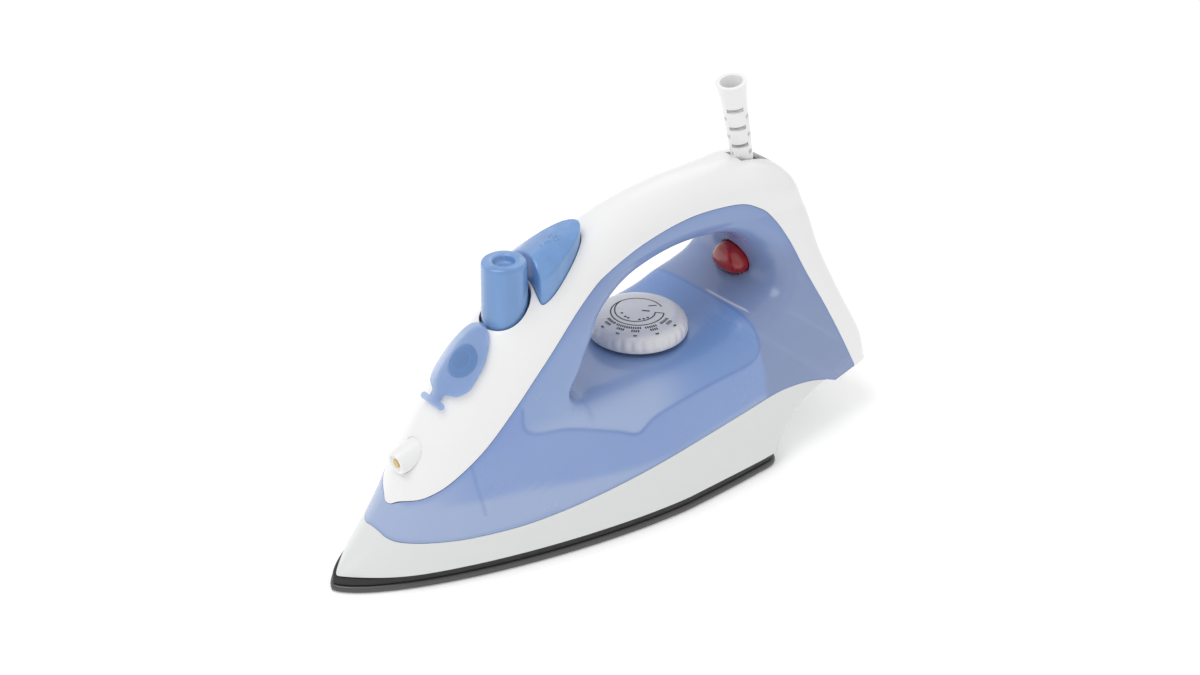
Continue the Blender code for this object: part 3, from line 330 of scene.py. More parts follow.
def cut(obj, tool, operation="DIFFERENCE"):
    """Applies a boolean with a tool and throws the tool away."""
    boolean = obj.modifiers.new("cut", "BOOLEAN")
    boolean.operation = operation
    boolean.solver = "EXACT"
    boolean.object = tool
    settle(obj)
    bpy.data.objects.remove(tool)
    return obj


def sheet_shell(name, sheets, half, wall=WALL):
    """A mirrored shell over side view sheets: each an array of (x, z) points, some rows closed on themselves."""
    mesh = bmesh.new()
    for points, closed, middle in sheets:
        x, z = points[..., 0], points[..., 1]
        y = np.where(middle, 0.0, -half(x, z))
        grid(mesh, np.stack([x, y, z], -1), closed_rows=closed)
    weld(mesh)
    mesh.normal_update()
    if sum(face.normal.y * face.calc_area() for face in mesh.faces) > 0:
        bmesh.ops.reverse_faces(mesh, faces=mesh.faces)
    obj = new_object(name, mesh)
    mirror = obj.modifiers.new("both_sides", "MIRROR")
    mirror.use_axis = (False, True, False)
    mirror.merge_threshold = 0.02 * MM
    solid = obj.modifiers.new("wall", "SOLIDIFY")
    solid.thickness = wall * MM
    solid.offset = -1.0
    return settle(obj)


def lathe(name, profile, foot=(0, 0, 0), turn=None, sides=96, wave=None):
    """A turned piece from (radius, height) points down its outer side; wave(angle, row) may add to the radius."""
    angles = np.linspace(0, 2 * math.pi, sides, endpoint=False)
    points = np.empty((len(profile), sides, 3))
    for k, (radius, height) in enumerate(profile):
        r = radius + (wave(angles, k) if wave else 0.0) * (radius > 0)
        points[k] = np.stack([r * np.cos(angles), r * np.sin(angles), np.full(sides, height)], 1)
    if turn is not None:
        points = points @ np.array(turn.to_3x3()).T
    mesh = bmesh.new()
    grid(mesh, points + np.array(foot), closed_rows=profile[0][0] > 0, closed_columns=True)
    weld(mesh)
    return new_object(name, mesh)


def rounded(profile, radius, steps=4):
    """A turned profile with its inner corners rounded off."""
    result = [profile[0]]
    for a, b, c in zip(profile, profile[1:], profile[2:]):
        a, b, c = Vector(a), Vector(b), Vector(c)
        reach = min(radius, 0.45 * (a - b).length, 0.45 * (c - b).length)
        start, end = b + (a - b).normalized() * reach, b + (c - b).normalized() * reach
        for k in range(steps + 1):
            t = k / steps
            result.append(tuple((1 - t) ** 2 * start + 2 * t * (1 - t) * b + t * t * end))
    return result + [profile[-1]]


def stack(name, rings):
    """A closed solid through rings of design points with a cap at each end."""
    mesh = bmesh.new()
    verts = grid(mesh, rings, closed_columns=True)
    mesh.faces.new(verts[0][::-1])
    mesh.faces.new(verts[-1])
    weld(mesh)
    return new_object(name, mesh)


def rod(name, start, end, radius, sides=64):
    """A straight round bar between two design points."""
    start, end = Vector(start), Vector(end)
    turn = Vector((0, 0, 1)).rotation_difference(end - start).to_matrix()
    length = (end - start).length
    return lathe(name, [(0, length), (radius, length), (radius, 0), (0, 0)], start, turn, sides)


def block(name, low, high):
    corners = [(low[0], low[1]), (high[0], low[1]), (high[0], high[1]), (low[0], high[1])]
    return stack(name, [[(x, y, z) for x, y in corners] for z in (low[2], high[2])])


def at_height(loop, z):
    return np.column_stack([loop, np.full(len(loop), float(z))])


def finish_piece(obj, body, slot, material, *replaced):
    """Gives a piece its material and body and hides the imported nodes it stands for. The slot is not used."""
    obj.data.materials.clear()
    obj.data.materials.append(material.material)
    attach(obj, body)
    if replaced:
        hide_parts(*replaced)
    return obj


# ---------------------------------------------------------------- materials

class Look:
    """A Principled material with helpers for its node tree."""

    def __init__(self, name, color, roughness, metallic=0.0, alpha=1.0, coat=0.0, specular=0.5, ior=1.5):
        self.material = bpy.data.materials.new(name)
        self.material.use_nodes = True
        self.nodes = self.material.node_tree.nodes
        self.shader = self.nodes["Principled BSDF"]
        values = {"Base Color": (*color, 1.0), "Roughness": roughness, "Metallic": metallic, "Alpha": alpha,
                  "Coat Weight": coat, "Specular IOR Level": specular, "IOR": ior}
        for socket, value in values.items():
            self.shader.inputs[socket].default_value = value
        self.shader.inputs["Coat Roughness"].default_value = 0.06
        self.color = color
        self.roughness = roughness
        self.place = self.nodes.new("ShaderNodeTexCoord").outputs["Object"]

    def link(self, output, target):
        self.material.node_tree.links.new(output, target)

    def noise(self, scale, detail=3.0, stretch=(1, 1, 1)):
        mapping = self.nodes.new("ShaderNodeMapping")
        mapping.inputs["Scale"].default_value = stretch
        self.link(self.place, mapping.inputs["Vector"])
        noise = self.nodes.new("ShaderNodeTexNoise")
        noise.inputs["Scale"].default_value = scale
        noise.inputs["Detail"].default_value = detail
        self.link(mapping.outputs["Vector"], noise.inputs["Vector"])
        return noise.outputs["Fac"]

    def blend(self, factor, first, second):
        mix = self.nodes.new("ShaderNodeMix")
        mix.data_type = "RGBA"
        self.link(factor, mix.inputs["Factor"])
        for value, socket in ((first, mix.inputs["A"]), (second, mix.inputs["B"])):
            if isinstance(value, tuple):
                socket.default_value = (*value, 1.0)
            else:
                self.link(value, socket)
        return mix.outputs["Result"]

    def tint(self, scale, spread, stretch=(1, 1, 1)):
        """Slow colour drift round the base colour, as in any moulding; on the clear blue knob and button it paints
        highlight streaks.
        """
        lighter = tuple(min(1.0, c * (1 + spread)) for c in self.color)
        darker = tuple(c * (1 - spread) for c in self.color)
        self.link(self.blend(self.noise(scale, 2.0, stretch), darker, lighter), self.shader.inputs["Base Color"])
        return self

    def color_from(self, output):
        self.link(output, self.shader.inputs["Base Color"])
        return self

    def wear(self, scale, low, high, stretch=(1, 1, 1)):
        """Roughness that drifts between two values."""
        ramp = self.nodes.new("ShaderNodeMapRange")
        ramp.inputs["From Min"].default_value = 0.3
        ramp.inputs["From Max"].default_value = 0.7
        ramp.inputs["To Min"].default_value = low
        ramp.inputs["To Max"].default_value = high
        self.link(self.noise(scale, 3.0, stretch), ramp.inputs["Value"])
        self.link(ramp.outputs["Result"], self.shader.inputs["Roughness"])
        return self

    def bump(self, scale, strength, depth_mm, stretch=(1, 1, 1)):
        node = self.nodes.new("ShaderNodeBump")
        node.inputs["Strength"].default_value = strength
        node.inputs["Distance"].default_value = depth_mm * MM
        self.link(self.noise(scale, 4.0, stretch), node.inputs["Height"])
        self.link(node.outputs["Normal"], self.shader.inputs["Normal"])
        return self


def linear(red, green, blue):
    """A colour given as 0 to 255 display values, in the linear values that shaders take."""
    return tuple(((c / 255 + 0.055) / 1.055) ** 2.4 if c > 10 else c / 255 / 12.92 for c in (red, green, blue))


WHITE = (Look("glossy_white", linear(237, 237, 237), 0.3, coat=0.25)
         .tint(9, 0.008).wear(40, 0.28, 0.32).bump(500, 0.05, 0.01))
# A shaded copy of the white plastic: the skirt's darker base colour paints the shade that falls on its sides
SHADED_SKIRT_WHITE = (Look("skirt_white_painted_shade", linear(220, 222, 221), 0.32, coat=0.2)
               .tint(9, 0.008).wear(40, 0.3, 0.34).bump(500, 0.05, 0.01))
# The clear blue's colour noise is drawn out upright into light and dark streaks: painted highlight streaks of the
# glassy plastic, placed at random
BLUE_KNOB = (Look("clear_blue", linear(118, 162, 218), 0.14, alpha=0.8, coat=0.7)
             .tint(140, 0.22, (1, 1, 0.12)).wear(80, 0.1, 0.18))
BLUE_LID = (Look("lid_clear_blue", linear(120, 162, 220), 0.1, alpha=0.42, coat=0.9)
            .tint(60, 0.06).wear(80, 0.07, 0.14))
SOLE = (Look("sole_coating", linear(84, 84, 83), 0.34, 0.4, coat=0.1)
        .tint(40, 0.1).wear(900, 0.3, 0.42).bump(2600, 0.3, 0.02))
SHIELD = (Look("shield_black", linear(24, 24, 24), 0.42).tint(40, 0.1).wear(300, 0.36, 0.5).bump(1800, 0.3, 0.03))
GREY = (Look("dial_grey", linear(216, 216, 220), 0.3, coat=0.35)
        .tint(120, 0.015).wear(90, 0.26, 0.34).bump(900, 0.12, 0.02))
PRINT = Look("dial_print", linear(22, 24, 34), 0.5).tint(400, 0.15).wear(500, 0.4, 0.6)
RED = (Look("lamp_red", linear(160, 22, 22), 0.12, alpha=0.93, coat=0.6)
       .tint(160, 0.25, (1, 1, 2.5)).wear(120, 0.1, 0.18).bump(260, 0.25, 0.08))
STEEL = (Look("drawn_steel", (0.6, 0.6, 0.62), 0.3, 1.0).tint(300, 0.08, (1, 1, 6)).wear(500, 0.24, 0.38, (1, 1, 8)))
ALUMINIUM = (Look("cast_aluminium", (0.62, 0.62, 0.63), 0.45, 1.0)
             .tint(120, 0.08).wear(400, 0.38, 0.55).bump(900, 0.3, 0.05))
BRASS = Look("turned_brass", (0.62, 0.46, 0.18), 0.32, 1.0).tint(200, 0.1).wear(600, 0.26, 0.4, (1, 1, 6))
CERAMIC = Look("ceramic", (0.78, 0.76, 0.7), 0.6).tint(150, 0.04).wear(300, 0.5, 0.7).bump(1500, 0.3, 0.04)
SILICONE = Look("silicone", (0.55, 0.16, 0.1), 0.6).tint(150, 0.08).wear(400, 0.5, 0.7)
INNER = Look("inner_plastic", (0.5, 0.52, 0.55), 0.5).tint(100, 0.05).wear(300, 0.42, 0.58)
GLASS = Look("lamp_glass", (0.9, 0.75, 0.6), 0.1, alpha=0.5).tint(150, 0.05).wear(200, 0.06, 0.14)
SLEEVE = (Look("woven_sleeve", (0.75, 0.7, 0.62), 0.7)
          .tint(900, 0.15, (1, 1, 1)).wear(900, 0.6, 0.85).bump(3000, 0.5, 0.1))


def toned_look(name, roughness, alpha, coat):
    """Translucent plastic whose colour follows the tone painted for what lies behind the wall, and for the painted
    highlights on its mould lines.
    """
    look = Look(name, linear(140, 164, 212), roughness, alpha=alpha, coat=coat)
    tone = look.nodes.new("ShaderNodeAttribute")
    tone.attribute_name = "tone"
    cloud = look.nodes.new("ShaderNodeMath")
    cloud.operation = "MULTIPLY"
    cloud.inputs[1].default_value = 0.16
    look.link(look.noise(28, 2.0, (1, 0.6, 2.2)), cloud.inputs[0])
    look.color_from(look.blend(cloud.outputs[0], tone.outputs["Color"], linear(166, 182, 220)))
    return look.wear(60, roughness - 0.02, roughness + 0.06).bump(500, 0.06, 0.02)


TANK = toned_look("tank_lilac_blue", 0.22, 0.88, 0.35)
CORE = (Look("reservoir_blue", linear(112, 150, 212), 0.3, alpha=0.8)
        .tint(40, 0.08).wear(80, 0.24, 0.34))

PAPER = Look("paper_white", (1.0, 1.0, 1.0), 0.9)
PAPER.shader.inputs["Emission Color"].default_value = (1.0, 1.0, 1.0, 1.0)
PAPER.shader.inputs["Emission Strength"].default_value = 0.15

# The tank's tones by region, as screen colours; mark is a painted white highlight along the mould lines.
TANK_TONES = {"flank": (136, 163, 214), "nose": (172, 186, 222), "strip": (168, 185, 219),
              "pocket": (166, 184, 220), "deck": (118, 152, 208), "pillar": (131, 149, 189),
              "arch": (138, 160, 206), "front": (132, 158, 214), "line": (86, 122, 190),
              "edge": (112, 146, 206), "mark": (226, 230, 238)}


# ---------------------------------------------------------------- outer shells

def moved_line(points, shift):
    """A line of side view points moved to its left by shift."""
    line = np.array(points, float)
    step = np.vstack([line[1] - line[0], line[2:] - line[:-2], line[-1] - line[-2]])
    return line + np.stack([-step[:, 1], step[:, 0]], 1) / np.hypot(*step.T)[:, None] * shift


def seam_line(shift):
    """The seam between handle shell and tank, from the nose ridge over the handle to the tail."""
    line = moved_line([OUTLINE[TONGUE_JOINT]] + SEAM, shift)
    line[0] = curve_at(OUTLINE, TONGUE_JOINT + 0.1 * shift)
    return line


def ruled(first, second, shares):
    """Side view points between two lines of equal length, one row for each pair."""
    return first[:, None] + (second - first)[:, None] * np.asarray(shares)[None, :, None]


def crowded(count):
    """Shares from 0 to 1, closer together at both ends."""
    return 0.5 - 0.5 * np.cos(np.linspace(0, math.pi, count))


def tank_sheets():
    """The tank's side view: a strip from the nose to the cut, then rays round the finger opening."""
    seam, under = seam_line(-SEAM_GAP / 2), moved_line(SKIRT_TOP, SEAM_GAP / 2)
    across = np.linspace(0, 1, 25)
    along = np.linspace(0, 1, 61) ** 1.4
    strip = ruled(curve_at(under, along * SKIRT_CUT), curve_at(seam, along * SEAM_CUT), across)
    ridge = curve_at(OUTLINE, TONGUE_JOINT - 0.99 + 0.98 * across)
    strip += ((1 - along) ** 12)[:, None, None] * (ridge - strip[0])
    strip_middle = np.zeros(strip.shape[:2], bool)
    strip_middle[0] = True

    upper = np.arange(SEAM_CUT + 1 / 8, len(seam) - 1 + 1e-6, 1 / 8)
    lower = np.arange(len(under) - 1, SKIRT_CUT + 1e-6, -1 / 8)
    tail = np.linspace(0, 1, 8)[1:-1, None]
    tail_line = seam[-1] + (under[-1] - seam[-1]) * tail
    ring = np.vstack([strip[-1], curve_at(seam, upper), tail_line, curve_at(under, lower)])
    stations = np.concatenate([18 + 2 * across, 19 + between(upper, SEAM_MATCH),
                               31 + 0.3 * tail[:, 0], 19 + between(lower, SKIRT_MATCH)])
    edge = curve_at(OPENING_WRAPPED, 1 + stations % len(OPENING))
    rays = ruled(edge, ring, crowded(45))
    rays_middle = np.zeros(rays.shape[:2], bool)
    rays_middle[:, 0] = True
    return [(strip, False, strip_middle), (rays, True, rays_middle)]


def handle_sheet():
    """The handle shell's side view, from the ridge on top down to the seam."""
    inner = seam_line(SEAM_GAP / 2)
    spans = len(OUTLINE) - 1 - TONGUE_JOINT
    steps = np.linspace(0, spans, spans * 10 + 1)
    shares = 1 - np.cos(math.pi / 2 * np.linspace(0, 1, 27))
    start, along = 0.5, steps / spans
    outer = curve_at(OUTLINE, TONGUE_JOINT + 0.01 * (1 - along) + steps)
    points = ruled(outer, curve_at(inner, start + (len(inner) - 1 - start) * along), shares)
    points += ((1 - along) ** 20)[:, None, None] * (curve_at(inner, shares * start) - points[0])
    middle = np.zeros(points.shape[:2], bool)
    middle[:, 0] = True
    return points, middle


def skirt_sheet():
    """The skirt's side view, with its foot swept up into the concave heel."""
    top = moved_line(SKIRT_TOP, -SEAM_GAP / 2)
    last = len(top) - 1
    foot = np.column_stack([3 + (top[:, 0] - top[0, 0]) * 202 / (top[-1, 0] - top[0, 0]),
                            np.full(len(top), SKIRT_FOOT_Z)])
    stations = np.concatenate([[0, 0.03, 0.08, 0.15, 0.25, 0.35, 0.5, 0.65, 0.8], np.arange(1, last - 1, 0.125),
                               last - np.array([1, 0.85, 0.7, 0.55, 0.4, 0.3, 0.2, 0.12, 0.06, 0.02, 0])])
    shares = np.linspace(0, 1, 13)
    straight = foot[-1] + (top[-1] - foot[-1]) * shares[:, None]
    heel = curve_at(SKIRT_HEEL, shares * (len(SKIRT_HEEL) - 1))
    points = ruled(curve_at(foot, stations), curve_at(top, stations), shares)
    ahead = foot[0] + (top[0] - foot[0]) * shares[:, None]
    points += ((stations / last) ** 6)[:, None, None] * (heel - straight)
    points += ((1 - stations / last) ** 6)[:, None, None] * (curve_at(OUTLINE, shares * 2) - ahead)
    middle = np.zeros(points.shape[:2], bool)
    middle[[0, -1]] = True
    return points, middle


def design_points(obj):
    """A settled piece's vertices in design millimetres."""
    co = np.empty(len(obj.data.vertices) * 3, np.float32)
    obj.data.vertices.foreach_get("co", co)
    return co.reshape(-1, 3).astype(float) / MM + (MIDDLE_X, 0, 0)


def soft_step(value, start, end):
    t = np.clip((value - start) / (end - start), 0, 1)
    return t * t * (3 - 2 * t)


def near_line(x, z, points, width):
    """1 on a side view line, falling to 0 away from it."""
    return np.exp(-(distance(x, z, spline(points, 6)) / width) ** 2)


def set_tone(obj, colors):
    """Stores a colour for each vertex, which the toned looks read."""
    values = np.column_stack([np.clip(colors, 0, 1), np.ones(len(colors))]).astype(np.float32)
    obj.data.attributes.new("tone", "FLOAT_COLOR", "POINT").data.foreach_set("color", values.ravel())


def refine_near(obj, lines, reach):
    """Splits the faces along side view lines so that narrow tones stay crisp."""
    mesh = bmesh.new()
    mesh.from_mesh(obj.data)
    mesh.verts.ensure_lookup_table()
    x, _, z = design_points(obj).T
    near = np.minimum.reduce([distance(x, z, spline(line, 6)) for line in lines]) < reach
    edges = [edge for edge in mesh.edges if near[edge.verts[0].index] and near[edge.verts[1].index]]
    bmesh.ops.subdivide_edges(mesh, edges=edges, cuts=2, use_grid_fill=True)
    mesh.to_mesh(obj.data)
    mesh.free()


def paint_tank(obj):
    """The tank's tones by region: flank, nose, strip below the floor, pocket wall, deck, pillar and arch, and a
    painted white highlight along the mould lines on the near side.
    """
    x, y, z = design_points(obj).T
    tones = {name: np.array(linear(*tone)) for name, tone in TANK_TONES.items()}
    color = np.tile(tones["flank"], (len(x), 1))

    def mix(name, share):
        share = np.clip(share, 0, 1)[:, None]
        color[:] = color * (1 - share) + tones[name] * share

    pocket_z = np.interp(x, *np.array(POCKET_EDGE[1:-2]).T)
    floor_z = np.interp(x, *np.array(FLOOR_EDGE).T)
    rear = soft_step(x, 199.4, 201.2)
    above = soft_step(z, pocket_z - 0.7, pocket_z + 0.7) * soft_step(x, 79, 81) * (1 - rear)
    mix("front", soft_step(z, 44, 60) * (1 - soft_step(x, 76, 84)))
    mix("nose", 1 - soft_step(x, 30, 62))
    mix("strip", 0.85 * (1 - soft_step(z, floor_z - 2.5, floor_z + 1.0)))
    mix("pocket", 0.95 * above * (1 - soft_step(x, 138, 176)))
    mix("deck", above * soft_step(x, 138, 176))
    mix("deck", 0.5 * above * soft_step(z, 52, 60) * soft_step(np.abs(y), 34, 26))
    mix("pillar", rear)
    mix("arch", soft_step(z, 84, 97))
    mix("edge", 0.55 * np.exp(-(distance(x, z, spline(SEAM, 6)) / 1.3) ** 2))
    mix("edge", 0.45 * np.exp(-(distance(x, z, spline(SKIRT_TOP, 6)) / 1.0) ** 2))
    mix("line", 0.6 * near_line(x, z, POCKET_EDGE, 0.75))
    mix("line", 0.4 * near_line(x, z, FRONT_RIB, 0.6))
    mix("line", 0.22 * near_line(x, z, MIDDLE_RIB, 1.2))
    # Painted highlight: thin white lines along the mould lines, on the near side only
    for mark in MOULD_LINE_HIGHLIGHTS:
        mix("mark", 0.8 * near_line(x, z, mark, 0.35) * (y < 0))
    set_tone(obj, color)


def build_tank_shell():
    shell = sheet_shell("tank_skin", tank_sheets(), body_half)
    cut(shell, rod("spindle_hole", (DIAL_X, 0, 50), (DIAL_X, 0, 64), 3.6))
    cut(shell, lamp_shape("lamp_hole", 0.35, 14.0, 8.0))
    settle(bevel(shell, 0.3))
    refine_near(shell, [POCKET_EDGE, FRONT_RIB] + MOULD_LINE_HIGHLIGHTS, 3.5)
    paint_tank(shell)
    finish_piece(shell, "housing", "tank_blue", TANK, "tank_shell")


def build_skirt():
    points, middle = skirt_sheet()
    skirt = sheet_shell("skirt_skin", [(points, False, middle)], skirt_half)
    cut(skirt, block("skirt_foot", (-5, -60, -5), (215, 60, SKIRT_FOOT_Z)))
    top = moved_line(SKIRT_TOP, -SEAM_GAP / 2)
    last = len(top) - 1
    edge = curve_at(top, np.linspace(last - 4, last, 25)) + (0, 0.02)
    above = [tuple(point) for point in edge] + [(262, 23), (262, 60), (edge[0][0], 60)]
    cut(skirt, stack("skirt_seam", [[(x, y, z) for x, z in above] for y in (-60, 60)]))
    settle(bevel(skirt, 0.35))
    # The skirt takes the darker copy of the white plastic, which paints the shade on its sides
    finish_piece(skirt, "housing", "white_plastic", SHADED_SKIRT_WHITE, "skirt")


def cover_tool(name, grow):
    """A block along the length with the rear cover's outline: a tall shape with round top corners."""
    half = [(0, COVER_TOP + grow), (8 + grow, COVER_TOP + grow), (11.5 + grow, COVER_TOP - 1.2),
            (13.4 + grow, COVER_TOP - 4.5), (18 + grow, 64), (22 + grow, 38), (24.5 + grow, 20)]
    edge = half + [(-y, z) for y, z in reversed(half[1:])]
    return stack(name, [[(x, y, z) for y, z in edge] for x in (236.0, 290.0)])


def build_white_shells():
    points, middle = handle_sheet()
    shell = sheet_shell("handle_skin", [(points, False, middle)], body_half)
    cover = sheet_shell("rear_cover_skin", [(points[-91:], False, middle[-91:])], body_half)
    cut(cover, cover_tool("cover_shape", 0.0), "INTERSECT")
    cut(cover, rod("screw_hole", (240, 0, COVER_SCREW.z), (290, 0, COVER_SCREW.z), 3.7))
    cut(shell, cover_tool("cover_place", 0.35))
    cut(shell, rod("knob_hole", (KNOB_X, 0, 80), (KNOB_X, 0, 130), KNOB_RADIUS + 0.8, 96))
    cut(shell, button_block("button_hole", 0.4, lambda x, y: 0 * x + 80, lambda x, y: 0 * x + 140))
    cut(shell, nozzle_shape("nozzle_hole", 0.1, 3.0))
    mouth = FRONT_NORMAL * 8.0
    cut(shell, rod("fill_hole", COLLAR_AT + mouth, COLLAR_AT - mouth, COLLAR_RADIUS + 0.4))
    low, high = GUARD_PIVOT + Vector(GUARD_SLOT[0]), GUARD_PIVOT + Vector(GUARD_SLOT[1])
    cut(shell, block("guard_slot", low, high))
    settle(bevel(shell, 0.35))
    settle(bevel(cover, 0.3))
    finish_piece(shell, "housing", "white_plastic", WHITE, "handle_shell")
    finish_piece(cover, "housing", "white_plastic", WHITE, "rear_cover")


# ---------------------------------------------------------------- soleplate group

def build_soleplate():
    """The coated plate: a rounded lip all round and a row of steam holes along each side."""
    rims = [(1.7, 0.0), (1.0, 0.1), (0.5, 0.35), (0.15, 0.8), (0.0, 1.3), (0.0, 1.9), (0.15, 2.4),
            (0.5, 2.75), (1.0, SOLE_TOP)]
    sole = stack("soleplate_fine", [at_height(sole_edge(inset), z) for inset, z in rims])
    spots = [(46.0, 0.0)]
    for x in (62.0, 80.0, 98.0, 116.0, 134.0):
        spots += [(x, sole_width(x) - 24.0), (x, 24.0 - sole_width(x))]
    for x, y in spots:
        profile = [(0, 5), (1.7, 5), (1.7, 0.5), (2.2, -0.1), (2.2, -1), (0, -1)]
        cut(sole, lathe("steam_hole", profile, (x, y, 0), sides=24))
    finish_piece(sole, "housing", "sole_coating", SOLE, "soleplate")


def build_heat_shield():
    """The black band between sole and skirt, with the tray behind it that covers the hot parts."""
    low, top, roof = SOLE_TOP + 0.3, SKIRT_FOOT_Z - 0.3, cad_box("heat_shield")[1].z

    def band(inset, z):
        return at_height(evened(sole_edge(inset)[:92]), z)

    def tray(inset, z):
        return at_height(inside_side(z, inset, cad_box("heat_shield")[1].x - 2.0), z)

    rings = [tray(6.0, roof - 1.8), tray(6.2, 10.5), band(6.8, 4.8), band(3.0, 4.8), band(3.0, low), band(1.5, low),
             band(1.1, low + 0.4), band(1.1, top - 0.4), band(1.5, top), band(6.2, top), tray(4.4, 10.5),
             tray(4.2, roof - 1.4), tray(4.7, roof - 0.5), tray(5.8, roof)]
    shield = stack("heat_shield_fine", rings)
    terminal, screw = cad_box("element_terminal_left"), cad_box("heel_screw_left")
    ports = [(KNOB_X, 0, 5.0), (DIAL_X, 0, 3.4)]
    for low_corner, high_corner in (terminal, screw):
        x, y = (low_corner.x + high_corner.x) / 2, (low_corner.y + high_corner.y) / 2
        ports += [(x, y, 3.6), (x, -y, 3.6)]
    for x, y, radius in ports:
        cut(shield, rod("shield_port", (x, y, 10), (x, y, 22), radius, 24))
    finish_piece(shield, "housing", "shield_black", SHIELD, "heat_shield")


def build_reservoir():
    """The tub inside the tank, whose rim follows the line that shows through the side."""
    def ring(inset, height, x_front, x_back):
        share = np.linspace(0, 1, 60) ** 1.6
        x = x_front + (x_back - x_front) * share
        z = height(x)
        y = (body_half(x, z) - inset) * edge_round(x - x_front, 12.0, 2.2)
        side = np.column_stack([x, np.maximum(y, 0), z])
        back = side[-1] * (1, 0, 1)
        return np.vstack([side, back, side[::-1][:-1] * (1, -1, 1)])

    def rim(x):
        return between(x, [(50, 46), (76, 50), (99, 50.5), (120, 44), (130, 40.6), (150, 45.5), (203, 49)])

    levels = [(5.6, lambda x: 0 * x + 23.6), (5.4, lambda x: 0 * x + 32), (5.4, rim)]
    inner = [ring(inset, height, 53.6, 200.4) for inset, height in levels]
    outer = [ring(inset - 1.6, height, 52, 202) for inset, height in
             [(5.6, lambda x: 0 * x + 22), levels[1], levels[2]]]
    tub = stack("reservoir", np.array(inner + outer[::-1]))
    for x, radius in ((KNOB_X, 5.0), (DIAL_X, 5.9)):
        cut(tub, rod("tub_port", (x, 0, 15), (x, 0, 30), radius, 32))
    finish_piece(tub, "housing", "tank_blue", CORE, "tank_base")


# ---------------------------------------------------------------- dial, knob and button

def dial_height(radius):
    """The height of the dial's top at a radius."""
    return np.interp(radius, *np.array(DIAL_PROFILE[:9]).T)


def dial_band(width, *stations):
    """A printed line through (radius, angle) stations, as two rows of points on the dial's top."""
    line = np.array(stations, float)
    steps = np.linspace(0, len(line) - 1, 1 + int(max(2, abs(line[-1, 1] - line[0, 1]) / 3)))
    radius, angle = (np.interp(steps, np.arange(len(line)), line[:, k]) for k in (0, 1))
    rows = [dial_point(radius + side * width / 2, angle) for side in (-1, 1)]
    return rows


def dial_point(radius, angle):
    angle = np.radians(angle)
    return np.stack([DIAL_X + radius * np.cos(angle), radius * np.sin(angle), dial_height(radius) + 0.04], -1)


def dial_stroke(mesh, start, end, width):
    """A straight printed stroke between two (radius, angle) points."""
    a, b = dial_point(*np.array(start, float)), dial_point(*np.array(end, float))
    side = np.array([-(b - a)[1], (b - a)[0], 0]) / np.hypot(*(b - a)[:2]) * width / 2
    grid(mesh, [[a - side, b - side], [a + side, b + side]])


def dial_dot(mesh, radius, angle, size):
    centre = dial_point(np.array(radius), np.array(angle))
    around = np.linspace(0, 2 * math.pi, 20, endpoint=False)
    circle = centre + size * np.column_stack([np.cos(around), np.sin(around), 0 * around])
    mesh.faces.new([mesh.verts.new(point) for point in place(circle)])


def build_dial():
    """The temperature dial with its finely scalloped rim, and the scale printed on its top."""
    grip = {7: 0.04, 8: 0.12, 9: 0.24, 10: 0.24, 11: 0.12}

    def scallop(angles, row):
        return grip.get(row, 0.0) * (1 - 2 * np.abs(np.sin(angles * SCALLOPS / 2)) ** 3)

    dial = settle(lathe("dial_fine", DIAL_PROFILE, (DIAL_X, 0, 0), sides=SCALLOPS * 12, wave=scallop))
    finish_piece(dial, "temperature_dial", "dial_grey", GREY, "dial")

    mesh = bmesh.new()
    grid(mesh, dial_band(0.6, (11.2, -18), (11.5, 60), (11.6, 180), (11.4, 313)))
    grid(mesh, dial_band(0.6, (11.4, 88), (9.9, 130), (9.2, 180), (8.5, 230), (7.6, 313)))
    dial_stroke(mesh, (7.5, 313), (11.5, 313), 0.65)
    dial_stroke(mesh, (6.6, 4), (9.8, -8), 0.75)
    dial_stroke(mesh, (2.0, -20), (5.2, -40), 0.95)
    for group in ((152,), (180, 194), (236, 252, 268)):
        for angle in group:
            dial_dot(mesh, 6.9, angle, 0.62)
    for angle in (176, 202, 226, 256, 288):
        dial_dot(mesh, 18.2, angle, 0.9)
        for radius, reach, step in ((13.6, 8, 4.0), (15.7, 5, 3.4)):
            for k in range(-reach // 3, reach // 3 + 1):
                tick = angle + k * step + (1.3 if radius > 14 else 0.0)
                dial_stroke(mesh, (radius - 0.7, tick), (radius + 0.7, tick), 0.62)
    marks = new_object("dial_scale", mesh)
    finish_piece(marks, "temperature_dial", "dial_grey", PRINT)


def build_knob():
    """The steam knob: a hollow cylinder with a rounded crown and a deep round recess."""
    top = KNOB_TOP
    profile = rounded([(0, top - 3.4), (4.1, top - 3.4), (4.6, top - 0.3), (6.2, top), (9.3, top - 0.4),
                       (9.45, top - 4.2), (9.85, KNOB_FOOT), (8.3, KNOB_FOOT), (7.9, top - 5.2), (2.4, top - 5.2),
                       (2.4, KNOB_FOOT), (0, KNOB_FOOT)], 2.4)
    knob = settle(lathe("steam_knob_fine", profile, (KNOB_X, 0, 0)), 40)
    finish_piece(knob, "steam_control", "button_blue", BLUE_KNOB, "steam_knob")


def button_outline(grow, steps=6):
    """The spray button in plan: a leaf that is hollow in front where it wraps the knob."""
    half = [(102.8 - grow, 0.0), (102.3 - grow, 4.0), (101.2 - grow, 8.5), (100.8 - grow, 11.8 + grow),
            (102.6, 12.8 + grow), (107, 12.6 + grow), (113, 11.3 + grow), (120, 8.9 + grow),
            (125.5, 5.9 + grow), (128.6 + grow * 0.7, 2.9 + grow * 0.7), (129.6 + grow, 0.0)]
    ring = half + [(x, -y) for x, y in reversed(half[1:-1])]
    wrapped = [ring[-1]] + ring + ring[:2]
    return curve_at(wrapped, np.linspace(1, 1 + len(ring), len(ring) * steps, endpoint=False))


